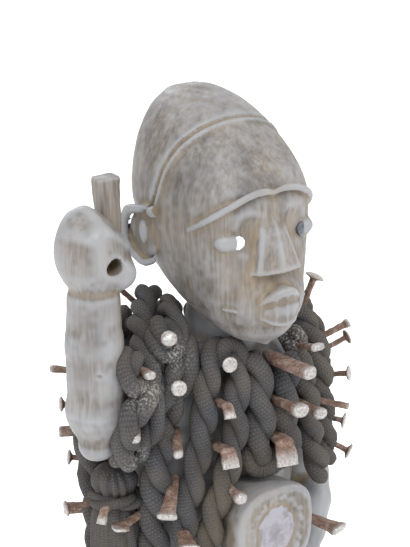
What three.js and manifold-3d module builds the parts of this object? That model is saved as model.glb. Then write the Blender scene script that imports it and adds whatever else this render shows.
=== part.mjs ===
// A standing power figure: one carved wood body with a raised fist, a belly box, a mantle of
// twisted cloth ropes, and iron nails driven through the ropes into the wood.
// Millimetres, +Z up. The figure looks along -Y and its raised right arm is on the -X side.
// The origin is the middle of the base's underside.
import * as THREE from "three";
import Module from "manifold-3d";
import { mergeVertices } from "three/addons/utils/BufferGeometryUtils.js";

const wasm = await Module();
wasm.setup();

// Driving dimensions
const crownHeight = 646;
const chinHeight = 474;
const baseHeight = 38;
const baseHalfWidth = 88;
const baseHalfDepth = 64;
const bodyMiddle = -3; // Y of the trunk's axis
const fitGap = 0.35; // air between two pieces that touch
const nailDepth = 11; // how far a nail goes into the wood
const shoulderLine = 440; // nails above this height slant down into the wood
const shoulderDrop = 16; // and go this much deeper
const ropePitch = 72; // one full twist of the two strands
const ropeStep = 13; // length of one modelled stretch of rope
// Sections of a twisted pair: corner angle, share of the radius. The back's are plainer.
const pairSection = [[0, 1], [52, 0.81], [128, 0.81], [180, 1], [232, 0.81], [308, 0.81]];
const plainPairSection = [[0, 1.1], [90, 0.86], [180, 1.1], [270, 0.86]];
const ropeClearance = 3; // how far the trunk stays inside the rows that the ropes follow
const eyeRadius = 5.4;
const eyeDepth = 5;
const eyePlace = [28, -69, 554.5];
const boxMiddle = [-3, 335]; // x and z of the belly box
const boxSquareness = 2.9;
const mirrorRadii = [19, 22];
const mirrorMiddle = [-4, 334];
const mirrorBack = -84;
const mirrorFront = -87;
const capRise = 1.5; // how far the cap stands over the forehead
const headMiddle = 0.58; // the head's axis, as a share of the way from its front to its back
const headSquareness = 2.1;

// Half widths of the trunk by height: right side, left side with its arm, front to back
const mantleRows = [
  [200, 62, 62, 46],
  [250, 63, 63, 46],
  [290, 67, 66, 46],
  [318, 70, 74, 47],
  [343, 71, 82, 47],
  [370, 73, 84, 47],
  [405, 81, 84, 46],
  [436, 78, 81, 44],
  [452, 66, 72, 40],
  [462, 52, 58, 36],
  [472, 36, 40, 32],
  [484, 28, 28, 28],
];

// Front, back and half width of the head by height
const headRows = [
  [474, -62, -34, 2],
  [478, -68, -31, 16],
  [484, -73.5, -25, 26.5],
  [492, -77, -12, 33.5],
  [505, -78, 12, 41],
  [520, -76.5, 33, 46],
  [550, -73.5, 52, 52.5],
  [580, -72, 56, 53.5],
  [592, -68, 55.5, 52],
  [604, -60, 54, 49],
  [616, -48.5, 51.5, 44],
  [626, -36, 48.5, 37.5],
  [634, -23, 45, 30.5],
  [640, -9, 40, 22.5],
  [646, 15, 23, 3],
];

const vector = (p) => new THREE.Vector3(...p);
const lerp = THREE.MathUtils.lerp;
const radians = THREE.MathUtils.degToRad;
const mirrored = (p) => [-p[0], ...p.slice(1)];
const bump = (distance, reach) => Math.exp(-((distance / reach) ** 2));

// Values at z from rows of [z, value, ...], joined by smooth cubics.
function rowsAt(rows, z) {
  const last = rows.length - 1;
  const i = THREE.MathUtils.clamp(rows.findIndex((row) => row[0] > z) - 1, 0, last - 1);
  const k = z >= rows[last][0] ? last - 1 : i;
  const slope = (r, c) => {
    const below = rows[Math.max(r - 1, 0)];
    const above = rows[Math.min(r + 1, last)];
    return (above[c] - below[c]) / (above[0] - below[0]);
  };
  const span = rows[k + 1][0] - rows[k][0];
  const t = THREE.MathUtils.clamp((z - rows[k][0]) / span, 0, 1);
  const near = t * t * (3 - 2 * t);
  return rows[k].slice(1).map((value, n) => {
    const c = n + 1;
    const leave = slope(k, c) * span * t * (1 - t) ** 2;
    const arrive = slope(k + 1, c) * span * t * t * (t - 1);
    return lerp(value, rows[k + 1][c], near) + leave + arrive;
  });
}

// A closed body through rings of equal point count, flat at both ends.
function loft(rings) {
  const sides = rings[0].length;
  const points = rings.flat();
  const faces = [];
  const apart = (a, b) => points[a].distanceTo(points[b]);
  for (let r = 0; r < rings.length - 1; r++) {
    for (let s = 0; s < sides; s++) {
      const a = r * sides + s;
      const b = r * sides + ((s + 1) % sides);
      const c = b + sides;
      const d = a + sides;
      if (apart(a, c) <= apart(b, d)) faces.push(a, b, c, a, c, d);
      else faces.push(a, b, d, b, c, d);
    }
  }
  const top = (rings.length - 1) * sides;
  for (let s = 1; s < sides - 1; s++) {
    faces.push(0, s + 1, s);
    faces.push(top, top + s, top + s + 1);
  }
  let volume = 0;
  for (let f = 0; f < faces.length; f += 3) {
    const [a, b, c] = faces.slice(f, f + 3).map((n) => points[n]);
    volume += a.dot(b.clone().cross(c));
  }
  if (volume < 0) faces.reverse();
  const positions = new Float32Array(points.flatMap((p) => p.toArray()));
  return new THREE.BufferGeometry()
    .setAttribute("position", new THREE.BufferAttribute(positions, 3))
    .setIndex(faces);
}

// Rings along a list of points. The section's points are [across, outward] pairs.
function sweep(points, outward, section) {
  const last = points.length - 1;
  return loft(
    points.map((point, i) => {
      const ahead = points[Math.min(i + 1, last)].clone().sub(points[Math.max(i - 1, 0)]);
      const across = ahead.clone().cross(outward(point)).normalize();
      const up = across.clone().cross(ahead).normalize();
      return section(i / last, i).map(([u, v]) =>
        point.clone().addScaledVector(across, u).addScaledVector(up, v),
      );
    }),
  );
}

// An upright body from rows of [z, half width, half depth, middle x, middle y].
function column(rows, sides, grow = 0, power = 2) {
  return loft(
    rows.map(([z, halfWidth, halfDepth, x, y]) =>
      ovalPoints(sides, halfWidth + grow, halfDepth + grow, power).map(
        ([u, v]) => new THREE.Vector3(x + u, y + v, z),
      ),
    ),
  );
}

// Points round an oval; a power over 2 squares it.
function ovalPoints(sides, halfWidth, halfDepth, power = 2) {
  return Array.from({ length: sides }, (_, s) => {
    const angle = (2 * Math.PI * (s + 0.5)) / sides;
    const c = Math.cos(angle);
    const q = Math.sin(angle);
    const size = (Math.abs(c) ** power + Math.abs(q) ** power) ** (-1 / power);
    return [halfWidth * c * size, halfDepth * q * size];
  });
}

function solidOf(geometry) {
  const bare = geometry.clone();
  bare.deleteAttribute("normal");
  bare.deleteAttribute("uv");
  const merged = mergeVertices(bare, 1e-4);
  return new wasm.Manifold(
    new wasm.Mesh({
      numProp: 3,
      vertProperties: merged.attributes.position.array,
      triVerts: new Uint32Array(merged.index.array),
    }),
  );
}

const joined = (solids) => solids.reduce((sum, solid) => sum.add(solid));

// The biggest body of a solid, without the slivers that a cut can leave.
function mainBody(solid) {
  const bodies = solid.decompose();
  return bodies.sort((a, b) => b.volume() - a.volume())[0];
}

function geometryOf(solid) {
  const mesh = solid.getMesh();
  return new THREE.BufferGeometry()
    .setAttribute("position", new THREE.BufferAttribute(mesh.vertProperties, 3))
    .setIndex(new THREE.BufferAttribute(mesh.triVerts, 1));
}

// Level direction that points straight out of the trunk at a place beside it.
function awayFromTrunk(point) {
  const [right, left, depth] = rowsAt(mantleRows, point.z);
  const half = point.x > 0 ? left : right;
  const y = point.y - bodyMiddle;
  const ropes = 20;
  return new THREE.Vector3(
    point.x / (half + ropes) ** 2,
    y / (depth + ropes) ** 2,
    0,
  ).normalize();
}

// How far a place stands outside the trunk, measured level from its axis
function standOff(point) {
  const [right, left, depth] = rowsAt(mantleRows, point.z);
  const y = point.y - bodyMiddle;
  const reach = Math.hypot(point.x / (point.x > 0 ? left : right), y / depth);
  return Math.hypot(point.x, y) * (1 - 1 / reach);
}

// Head
// The seam of the cap, as [angle from the front, z], from beside the ear to the brow's middle
const seamKnots = [
  [86, 560],
  [84, 566],
  [80, 580],
  [74, 596],
  [58, 614.5],
  [32, 626.5],
  [0, 630.5],
];
// Dents and swellings of the face: x, z, reach across, reach up, rise
const faceForms = [
  [24, 561, 15, 12, -5.5],
  [28.5, 554, 11, 7.5, 3.2],
  [0, 507, 22, 16, 8],
  [0, 486, 17, 8, 3],
  [34, 528, 14, 20, 2],
];

function seamHeight(angle) {
  const turned = Math.abs(angle);
  const i = seamKnots.findIndex((knot) => knot[0] <= turned);
  if (i < 1) return i < 0 ? seamKnots.at(-1)[1] : chinHeight;
  const [a, b] = [seamKnots[i - 1], seamKnots[i]];
  return lerp(b[1], a[1], (turned - b[0]) / (a[0] - b[0]));
}

function headPoint(angle, z, lift = 0) {
  const [front, back, half] = rowsAt(headRows, z);
  const middle = lerp(front, back, headMiddle);
  const turn = radians(angle);
  const c = Math.cos(turn);
  const s = Math.sin(turn);
  const depth = c > 0 ? middle - front : back - middle;
  const power = headSquareness + (c > 0 ? 1.1 * bump(z - 570, 60) : 0);
  const size = (Math.abs(s) ** power + Math.abs(c) ** power) ** (-1 / power);
  const point = new THREE.Vector3(half * s * size, middle - depth * c * size, z);
  const away = new THREE.Vector3(point.x / half, (point.y - middle) / depth, 0).normalize();
  let rise = lift;
  if (c > 0.2)
    for (const [x, zed, wide, tall, size] of faceForms)
      rise += size * bump(Math.abs(point.x) - x, wide) * bump(z - zed, tall);
  if (z > seamHeight(angle) && z < crownHeight - 2) rise += capRise;
  return point.addScaledVector(away, rise);
}

function skull() {
  const side = [12, 24, 38, 55, 75, 98, 124, 152];
  const angles = [0, ...side, 180, ...side.map((a) => -a).reverse()];
  const heights = [
    474.5, 480, 488, 499, 511, 524, 537, 547, 555, 563, 574, 586, 600, 614, 627, 638, 645.7,
  ];
  return solidOf(loft(heights.map((z) => angles.map((a) => headPoint(a, z)))));
}

function nose() {
  // z, ridge y, half width
  const rows = [
    [531.3, -88, 18.2],
    [545, -83, 13.6],
    [557, -79, 9.6],
    [572, -71.5, 6.5],
    [587, -64, 3],
  ];
  const root = -52;
  return solidOf(
    loft(
      rows.map(([z, ridge, half]) =>
        [
          [-half, root],
          [-half, ridge + half * 0.45],
          [0, ridge],
          [half, ridge + half * 0.45],
          [half, root],
        ].map(([x, y]) => new THREE.Vector3(x, y, z)),
      ),
    ),
  );
}

// A carved band from side to side through half a list of points, middle last.
function faceBand(half, count, halfHeight, rise, thin = 0.35) {
  const knots = [...half, ...half.slice(0, -1).reverse().map(mirrored)];
  const curve = new THREE.CatmullRomCurve3(knots.map(vector));
  const axis = new THREE.Vector3(0, 0, 560);
  const outward = (p) => new THREE.Vector3(p.x, p.y, 0).sub(axis.clone().setZ(0));
  return solidOf(
    sweep(curve.getSpacedPoints(count), outward, (share) => {
      const full = lerp(thin, 1, Math.sin(Math.PI * share) ** 0.6);
      return [
        [-halfHeight * full, -3],
        [0, rise * full],
        [halfHeight * full, -3],
      ];
    }),
  );
}

// The lips as one lens: a thin upper band, a sunk mouth line and a broad lower plane
function mouth() {
  // x, top z, bottom z, how far forward the upper band comes
  const corner = [
    [22, 506, 503.5, -72],
    [19, 511.5, 499.5, -79.5],
    [11.5, 518, 495.5, -88.5],
  ];
  const middle = [0, 521, 494, -93];
  const root = -60;
  const rows = [...corner, middle, ...corner.map(mirrored).reverse()];
  return solidOf(
    loft(
      rows.map(([x, top, bottom, front]) =>
        [
          [root, top],
          [front, top - 1],
          [front + 0.6, lerp(top, bottom, 0.2)],
          [front + 3.4, lerp(top, bottom, 0.34)],
          [front + 2.6, lerp(top, bottom, 0.86)],
          [root, bottom],
        ].map(([y, z]) => new THREE.Vector3(x, y, z)),
      ),
    ),
  );
}

function brow() {
  const half = [
    [50, -41, 560],
    [46.5, -52, 567.5],
    [40.5, -62, 575],
    [31, -69.5, 582.5],
    [19, -73, 588],
    [9, -73.5, 589.5],
    [0, -72, 587],
  ];
  return faceBand(half, 12, 4.6, 3.4);
}

function seamRim() {
  const half = seamKnots.map(([a, z]) => headPoint(a, z, 0.4).toArray());
  return faceBand(half, 12, 3, 2.2, 0.6);
}

function ear(side) {
  const turn = new THREE.Euler(radians(-12), radians(-8), radians(30), "ZXY");
  const ball = (radii, place, across, down) => {
    const shape = new THREE.SphereGeometry(1, across, down)
      .scale(...radii)
      .applyMatrix4(new THREE.Matrix4().makeRotationFromEuler(turn))
      .translate(...place)
      .scale(side, 1, 1);
    if (side < 0) shape.setIndex([...shape.index.array].reverse());
    return solidOf(shape);
  };
  const outer = ball([8.5, 14, 21.5], [57, 5, 547], 8, 6);
  const hollow = ball([8, 10, 15.5], [64, -2.5, 549], 6, 4);
  return outer.subtract(hollow);
}

// Body
function trunk(grow = 0) {
  const hips = [
    [204, 50, 35, 0, bodyMiddle],
    [222, 58.5, 42, 0, bodyMiddle],
  ];
  const waist = [250, 300, 345, 405, 428].map((z) => {
    const [right, , depth] = rowsAt(mantleRows, z);
    return [z, right - ropeClearance, depth - ropeClearance, 0, bodyMiddle];
  });
  const shoulders = [
    [446, 62, 36, 0, -4],
    [458, 44, 31, 0, -7],
    [466, 30, 28, 0, -10],
  ];
  return solidOf(column([...hips, ...waist, ...shoulders], 12, grow, 2.15));
}

function neck(grow = 0) {
  const rows = [
    [440, 34, 32, 0, -13],
    [470, 28, 28, 0, -13],
    [505, 26, 26, 0, -15],
  ];
  return solidOf(column(rows, 8, grow));
}

// A limb through stations of [x, y, z, half across, half deep].
function limb(stations, sides, grow = 0, reference = new THREE.Vector3(0, -1, 0)) {
  const section = (share, i) =>
    ovalPoints(sides, stations[i][3] + grow, stations[i][4] + grow);
  const points = stations.map((s) => vector(s.slice(0, 3)));
  return solidOf(sweep(points, () => reference, section));
}

function raisedArm(grow = 0) {
  const upper = limb(
    [
      [-48, 2, 430, 22, 22],
      [-74, -2, 440, 22, 21],
      [-98, -12, 442, 22, 21],
      [-116, -25, 436, 20, 19],
    ],
    8,
    grow,
  );
  const forearm = column(
    [
      [404, 9, 9, -120, -29],
      [408, 16, 15, -120, -29],
      [418, 20, 19.5, -120, -30],
      [445, 21.5, 21, -120, -30],
      [490, 20, 20, -121, -30],
      [518, 18.5, 18.5, -120.5, -30],
      [530, 18, 18, -120.5, -30],
    ],
    10,
    grow,
  );
  return [upper, solidOf(forearm)];
}

function fist() {
  const rows = [
    [526, 16, 16, -120.5, -30],
    [532, 23, 21.5, -120.5, -30],
    [544, 25.5, 24, -120.5, -30],
    [556, 25.5, 24, -121, -30],
    [568, 22, 21.5, -122.5, -29.5],
    [579, 16, 16, -126, -29],
    [587, 8.5, 9, -130, -29],
    [590, 3, 3.5, -131, -29],
  ];
  return solidOf(column(rows, 10));
}

// The socket in the front of the fist, for a blade or spear that is lost
const gripHole = {
  mouth: [-117, -62, 549.5],
  bottom: [-117, -33, 549.5],
  half: [7, 5.5],
};

function gripCut() {
  const { mouth, bottom, half } = gripHole;
  const up = new THREE.Vector3(0, 0, 1);
  return solidOf(
    sweep([vector(mouth), vector(bottom)], () => up, () => ovalPoints(8, ...half)),
  );
}

// The wooden peg in the back of the fist, a little tapered
const pegEnds = { bottom: [-98, -17, 552], top: [-98, -12, 601] };

function peg(grow = 0) {
  const ends = [vector(pegEnds.bottom), vector(pegEnds.top)];
  const side = new THREE.Vector3(0, -1, 0);
  const halves = [
    [8.2, 5.6],
    [9.2, 6.2],
  ];
  return solidOf(
    sweep(ends, () => side, (share, i) => {
      const [w, d] = halves[i].map((v) => v + grow);
      return [
        [-w, -d],
        [w, -d],
        [w, d],
        [-w, d],
      ];
    }),
  );
}

function hangingArm(grow = 0) {
  const stations = [
    [56, 2, 438, 20, 20],
    [66, 0, 405, 17, 17],
    [68, -2, 365, 16, 16],
    [80, -5, 338, 17, 16],
    [90, -10, 324, 16, 15],
    [82, -26, 310, 14, 13],
    [66, -42, 294, 12, 11],
    [54, -50, 286, 13, 9],
    [43, -53, 281, 9, 6],
  ];
  return limb(stations, 8, grow, new THREE.Vector3(0.35, -1, 0.25));
}

function bellyBox(grow = 0) {
  const rings = [
    [-30, 29],
    [-52, 30],
    [-70, 32],
    [-84, 33.5],
    [-87.5, 30],
  ];
  return solidOf(
    loft(
      rings.map(([y, half]) =>
        ovalPoints(12, half + grow, half * 0.97 + grow, boxSquareness).map(
          ([x, z]) => new THREE.Vector3(boxMiddle[0] + x, y, boxMiddle[1] + z),
        ),
      ),
    ),
  );
}

function mirrorDisc(grow, back, front) {
  const [halfWidth, halfHeight] = mirrorRadii;
  const [x, z] = mirrorMiddle;
  const ring = ovalPoints(12, halfWidth + grow, halfHeight + grow);
  return solidOf(
    loft([back, front].map((y) => ring.map(([u, v]) => new THREE.Vector3(x + u, y, z + v)))),
  );
}

function leg(side) {
  const rows = [
    [226, 27, 34, 30, -2],
    [200, 28, 36, 31, -2],
    [170, 26, 31, 33, -5],
    [143, 20.5, 23, 34, -9],
    [120, 22, 25, 35, -2],
    [98, 22, 25, 36, 4],
    [74, 15.5, 17, 36, 4],
    [56, 16, 19, 36, 2],
  ];
  const placed = rows.map(([z, w, d, x, y]) => [z, w, d, side * x, y]);
  return solidOf(column(placed, 8));
}

function foot(side) {
  const rows = [
    [34, 21, 47, 37, -14],
    [46, 21, 46, 37, -14],
    [55, 18, 38, 37, -9],
    [66, 15, 24, 36, -2],
  ];
  const placed = rows.map(([z, w, d, x, y]) => [z, w, d, side * x, y]);
  return solidOf(column(placed, 8, 0, 3));
}

function base() {
  const rows = [
    [0, 3, 3],
    [3, 0, 0],
    [34, 1, 1],
    [baseHeight, 4, 4],
  ].map(([z, narrower, shallower]) => [
    z,
    baseHalfWidth - narrower,
    baseHalfDepth - shallower,
    0,
    -4,
  ]);
  return solidOf(column(rows, 16, 0, 3.2));
}

// Ropes: hand-laid routes, radius of the twisted pair, and the two ends' fullness
const ropeRoutes = {
  chest_rope: [
    11.5,
    [
      [-36, -33, 473], [-46, -40, 463], [-58, -43, 451], [-68, -44, 437], [-73, -43, 420],
      [-76, -41, 403], [-77, -39, 384], [-77, -36, 364], [-77, -34, 344], [-76, -32, 320],
      [-73, -32, 290], [-69, -33, 262], [-65, -35, 242],
    ],
  ],
  arch_rope: [
    9.5,
    [
      [-61, -52, 322], [-60, -53, 346], [-56, -56, 368], [-52, -58, 386], [-49, -59, 403],
      [-48, -60, 420], [-46, -60, 436], [-42, -57, 451], [-36, -52, 464], [-27, -49, 470],
      [-18, -52, 464], [-18, -60, 448], [-23, -64, 430], [-25, -65, 410], [-29, -66, 392],
      [-37, -66, 372], [-45, -65, 350], [-48, -62, 322], [-47, -58, 296], [-43, -55, 272],
      [-38, -55, 252],
    ],
  ],
  belly_loop_rope: [
    12,
    [
      [-2, -54, 459], [2, -59, 449], [3, -62, 433], [3, -64, 414], [0, -65, 398],
      [-3, -65, 387], [2, -65, 382], [13, -64, 381], [24, -62, 387], [28, -60, 400],
      [29, -59, 412], [30, -57, 424], [32, -55, 438], [35, -49, 452],
    ],
  ],
  left_breast_rope: [
    10,
    [
      [44, -34, 470], [51, -38, 460], [55, -43, 448], [56, -47, 436], [56, -49, 422],
      [57, -50, 408], [58, -50, 392], [61, -49, 374], [66, -48, 356], [69, -46, 340],
    ],
  ],
  left_outer_rope: [
    10,
    [
      [60, -16, 476], [69, -22, 466], [76, -29, 452], [79, -33, 438], [81, -34, 420],
      [82, -34, 400], [84, -33, 378], [87, -31, 358], [91, -30, 342],
    ],
  ],
  left_side_rope: [
    10.5,
    [
      [64, 8, 480], [78, 2, 471], [88, -4, 458], [95, -7, 440], [98, -9, 420],
      [99, -10, 398], [100, -10, 374], [103, -10, 354], [109, -10, 340],
    ],
  ],
  shoulder_loop_rope: [
    10,
    [
      [-20, 42, 478], [-33, 34, 488], [-50, 17, 490], [-68, -4, 484], [-79, -24, 478],
      [-84, -38, 470], [-89, -50, 461], [-99, -56, 459], [-105, -58, 468], [-101, -57, 480],
    ],
  ],
  collar_loop_rope: [
    9.5,
    [
      [-28, 12, 484], [-40, -8, 488], [-51, -26, 487], [-60, -41, 482], [-69, -50, 478],
      [-75, -43, 486],
    ],
  ],
  inner_side_rope: [
    9,
    [
      [-50, -30, 468], [-59, -42, 464], [-71, -53, 456], [-84, -60, 445], [-92, -60, 431],
      [-96, -51, 416], [-97, -40, 404],
    ],
  ],
  elbow_rope: [
    11,
    [
      [-90, -73, 462], [-99, -74, 451], [-106, -71, 438], [-109, -64, 424],
      [-105, -49, 405], [-100, -31, 394],
    ],
  ],
  left_back_rope: [
    12,
    [
      [52, 36, 478], [72, 30, 462], [87, 22, 444], [96, 15, 424], [100, 15, 400],
      [100, 15, 370], [95, 16, 340], [87, 18, 312], [80, 20, 286], [76, 22, 262],
    ],
  ],
  back_loop_left_rope: [
    12.5,
    [
      [30, 34, 480], [50, 44, 462], [68, 43, 440], [78, 41, 414], [80, 41, 384],
      [76, 42, 350], [70, 42, 316], [64, 43, 286], [58, 45, 264], [45, 51, 250],
      [33, 56, 262], [34, 57, 288], [38, 56, 320], [43, 56, 356], [46, 56, 390],
      [42, 56, 420], [34, 53, 446], [20, 46, 464],
    ],
  ],
  back_loop_right_rope: [
    12.5,
    [
      [-8, 44, 472], [-6, 54, 452], [-2, 59, 424], [4, 60, 390], [6, 60, 350],
      [4, 59, 310], [-2, 59, 272], [-14, 58, 250], [-28, 56, 258], [-32, 56, 284],
      [-34, 57, 316], [-34, 58, 352], [-36, 58, 390], [-36, 57, 424], [-32, 51, 450],
      [-24, 42, 468],
    ],
  ],
  right_back_rope: [
    12.5,
    [
      [-44, 38, 474], [-60, 44, 456], [-70, 45, 432], [-75, 43, 402], [-72, 43, 366],
      [-69, 43, 330], [-67, 43, 296], [-65, 43, 264], [-63, 43, 240],
    ],
  ],
  right_side_back_rope: [
    12,
    [
      [-66, 26, 474], [-83, 28, 456], [-94, 25, 434], [-98, 21, 408], [-95, 20, 376],
      [-91, 20, 344], [-89, 19, 308], [-86, 18, 272], [-82, 17, 244],
    ],
  ],
};

// Two strands twisted together, as one six-sided section that turns along the route.
function ropeSolid([radius, route], corners, grow = 0) {
  const curve = new THREE.CatmullRomCurve3(route.map(vector), false, "centripetal");
  const count = Math.round(curve.getLength() / ropeStep);
  return solidOf(
    sweep(curve.getSpacedPoints(count), awayFromTrunk, (share, i) => {
      const turn = (2 * Math.PI * i * ropeStep) / ropePitch;
      const full = i === 0 || i === count ? 0.72 : 1;
      return corners.map(([corner, share]) => {
        const angle = turn + radians(corner);
        const reach = radius * share * full + grow;
        return [reach * Math.cos(angle), reach * Math.sin(angle)];
      });
    }),
  );
}

// A bundle of cloth gathered in a band below the raised elbow
function clothBundle(grow = 0) {
  const rows = [
    [384, 13, 13, -99, -16],
    [374, 17, 17, -98, -15],
    [364, 12, 14, -97, -15],
    [357, 12, 14, -97, -15],
    [344, 17, 17, -97, -14],
    [315, 18, 18, -96, -13],
    [285, 16, 17, -93, -12],
    [262, 11, 12, -89, -12],
  ];
  return solidOf(column(rows, 8, grow));
}

// Nails: where each leaves the ropes, its tip, width, thickness and kind of end
const nailRows = {
  nail_01_behind_neck: [[-42, 35, 482], [-62, 34, 502], 4, 4, "disc"],
  nail_02_collar: [[-60, -31, 474], [-76, -55, 491], 4, 4, "disc"],
  nail_03_shoulder_loop: [[-91, -34, 466], [-96, -62, 470], 7, 5, "plain"],
  nail_04_arch: [[-27, -50, 460], [-31, -66, 464], 4, 4, "disc"],
  nail_05_chest: [[-62, -46, 452], [-77, -68, 458], 4, 4, "disc"],
  nail_06_breast: [[-37, -60, 435], [-43, -82, 440], 6, 4, "bent"],
  nail_07_elbow: [[-92, -36, 430], [-112, -66, 428], 6, 5, "plain"],
  nail_08_chest_low: [[-67, -50, 413], [-82, -74, 411], 6, 5, "plain"],
  nail_09_flat_bent: [[-39, -62, 402], [-45, -86, 408], 9, 4, "bent"],
  nail_10_blade: [[-68, -48, 374], [-90, -71, 364], 7, 4, "blade"],
  nail_11_box_side: [[-34, -64, 372], [-39, -92, 371], 5, 5, "blob"],
  nail_12_leaf: [[-84, -30, 349], [-113, -40, 348], 6, 4, "leaf"],
  nail_13_clamp: [[-100, -20, 362], [-121, -34, 360], 5, 4, "bent"],
  nail_14_long_bar: [[14, -60, 456], [14, -101, 458], 9, 8, "plain"],
  nail_15_under_bar: [[14, -62, 424], [10, -98, 429], 7, 6, "blob"],
  nail_16_wide_clamp: [[12, -62, 398], [6, -86, 400], 12, 4, "bent"],
  nail_17_flared: [[44, -50, 456], [42, -74, 463], 5, 4, "flare"],
  nail_18_knob: [[42, -58, 413], [38, -86, 415], 6, 5, "blob"],
  nail_19_shoulder_top: [[78, -14, 474], [86, -17, 494], 5, 5, "disc"],
  nail_20_right_edge: [[91, -24, 446], [108, -32, 455], 4, 4, "flare"],
  nail_21_right_edge: [[92, -26, 436], [109, -31, 443], 4, 4, "disc"],
  nail_22_right_edge: [[93, -28, 414], [103, -41, 417], 4, 4, "disc"],
  nail_23_right_edge: [[70, -46, 404], [86, -60, 400], 4, 4, "plain"],
  nail_24_right_edge: [[92, -26, 378], [102, -38, 376], 5, 4, "disc"],
  nail_25_right_edge: [[93, -26, 358], [105, -42, 350], 5, 4, "disc"],
  nail_26_left_edge: [[-84, 37, 437], [-109, 52, 441], 5, 4, "plain"],
  nail_27_left_edge: [[-87, 35, 413], [-106, 45, 414], 4, 4, "disc"],
  nail_28_left_edge: [[-86, 35, 392], [-106, 47, 391], 7, 6, "plain"],
  nail_29_left_edge: [[-84, 34, 368], [-101, 44, 370], 4, 4, "disc"],
  nail_30_left_edge: [[-101, 4, 350], [-124, 12, 347], 4, 4, "disc"],
  nail_31_left_edge: [[-80, 33, 327], [-104, 47, 327], 7, 7, "plain"],
  nail_32_left_edge: [[-99, 3, 305], [-119, 8, 305], 5, 5, "blob"],
  nail_33_under_arm: [[50, -53, 316], [60, -84, 314], 9, 4, "blade"],
  nail_34_beside_box: [[-63, -52, 338], [-75, -76, 336], 8, 5, "blade"],
  nail_35_back: [[57, 52, 430], [66, 70, 434], 4, 4, "disc"],
  nail_36_back: [[22, 60, 412], [25, 80, 415], 6, 5, "plain"],
  nail_37_back: [[-18, 60, 360], [-21, 80, 362], 5, 4, "disc"],
};

// Outer shapes by kind of end: share of the way from the ropes to the tip, width, thickness
const nailEnds = {
  plain: [[1, 1, 1]],
  disc: [[0.86, 0.9, 0.9], [0.88, 2.6, 2.6], [1, 2.3, 2.3]],
  blob: [[0.6, 0.9, 0.9], [0.72, 1.7, 1.7], [0.92, 1.8, 1.6], [1, 1, 1]],
  flare: [[0.75, 1, 1], [1, 2.1, 1.6]],
  blade: [[0.5, 1.2, 1], [0.9, 1.45, 1.2], [1, 1.9, 1.5]],
  leaf: [[0.62, 1, 1], [0.8, 2.4, 0.8], [1, 0.5, 0.5]],
  bent: [[0.8, 1.05, 1], [1, 1.2, 1]],
};

// Places along a nail from its end in the wood, each with its width and thickness
function nailStations([leave, tip, width, thickness, kind]) {
  const out = vector(leave);
  const end = vector(tip);
  const drop = out.z > shoulderLine ? shoulderDrop : 0;
  const inward = standOff(out) + nailDepth + drop;
  const inner = out.clone().addScaledVector(awayFromTrunk(out), -inward);
  inner.z -= drop * 0.6;
  const stations = [
    [inner, width / 2, thickness / 2],
    [out, width, thickness],
  ];
  for (const [share, wider, thicker] of nailEnds[kind]) {
    const point = out.clone().lerp(end, share);
    if (kind === "bent" && share === 1) point.z -= width * 1.4;
    stations.push([point, width * wider, thickness * thicker]);
  }
  return stations;
}

function nailShape(stations, sides, stretch, grow) {
  const up = new THREE.Vector3(0, 0, 1);
  const section = (share, i) =>
    ovalPoints(sides, stations[i][1] * stretch + grow, stations[i][2] * stretch + grow);
  return solidOf(sweep(stations.map((s) => s[0]), () => up, section));
}

const headSides = 5;
function nailSolid(row) {
  return nailShape(nailStations(row), row[4] === "disc" ? headSides : 4, 0.62, 0);
}

// The room that a nail's shank needs in wood and rope
function nailHole(row) {
  return nailShape(nailStations(row).slice(0, 3), 4, row[4] === "disc" ? 0.8 : 0.62, 0.5);
}

// Materials
const finish = (color, roughness, metalness = 0) =>
  new THREE.MeshStandardMaterial({ color, roughness, metalness, flatShading: true });
const wood = finish("#6f665d", 0.6);
const ropeCloth = finish("#4b4c50", 0.95);
const iron = finish("#8f7f75", 0.7, 0.4);
const paleGlass = finish("#cfd8dc", 0.2);
const darkGlass = finish("#4d545a", 0.25);
const mirrorGlass = finish("#8b8a92", 0.35, 0.2);

const group = new THREE.Group();
function place(name, solid, material) {
  const mesh = new THREE.Mesh(geometryOf(solid), material);
  mesh.name = name;
  group.add(mesh);
}

// Every piece as a solid, each cut clear of the ones that it touches
const nails = Object.entries(nailRows).map(([name, row]) => ({
  name,
  solid: nailSolid(row),
  hole: nailHole(row),
}));
const clearOf = (solid, cutters) =>
  cutters.reduce((left, cutter) => {
    const common = left.intersect(cutter);
    return common.isEmpty() ? left : left.subtract(cutter);
  }, solid);

const eyes = [-1, 1].map((side) => {
  const centre = vector(eyePlace).multiply(new THREE.Vector3(side, 1, 1));
  const away = new THREE.Vector3(side * 0.3, -1, 0).normalize();
  const up = new THREE.Vector3(0, 0, 1);
  const disc = (radius, back, front) =>
    solidOf(
      sweep(
        [back, front].map((d) => centre.clone().addScaledVector(away, d)),
        () => up,
        () => ovalPoints(8, radius, radius),
      ),
    );
  return {
    name: side < 0 ? "right_eye_glass" : "left_eye_glass",
    solid: disc(eyeRadius, -eyeDepth, 0.8),
    hole: disc(eyeRadius + fitGap, -eyeDepth - fitGap, eyeDepth * 2),
  };
});

const figureParts = [
  skull(), nose(), brow(), seamRim(), mouth(), ear(1), ear(-1), neck(), trunk(),
  ...raisedArm(), fist(), hangingArm(), bellyBox(), leg(1), leg(-1), foot(1), foot(-1),
  base(),
];
const figure = mainBody(
  clearOf(joined(figureParts), [
    gripCut(),
    peg(fitGap),
    mirrorDisc(fitGap, mirrorBack + fitGap, mirrorFront - 8),
    ...eyes.map((eye) => eye.hole),
    ...nails.map((nail) => nail.hole),
  ]),
);
place("figure", figure, wood);
place("fist_peg", peg(), wood);
place("belly_mirror", mirrorDisc(0, mirrorBack, mirrorFront), mirrorGlass);
eyes.forEach((eye, i) => place(eye.name, eye.solid, i ? darkGlass : paleGlass));

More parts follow.
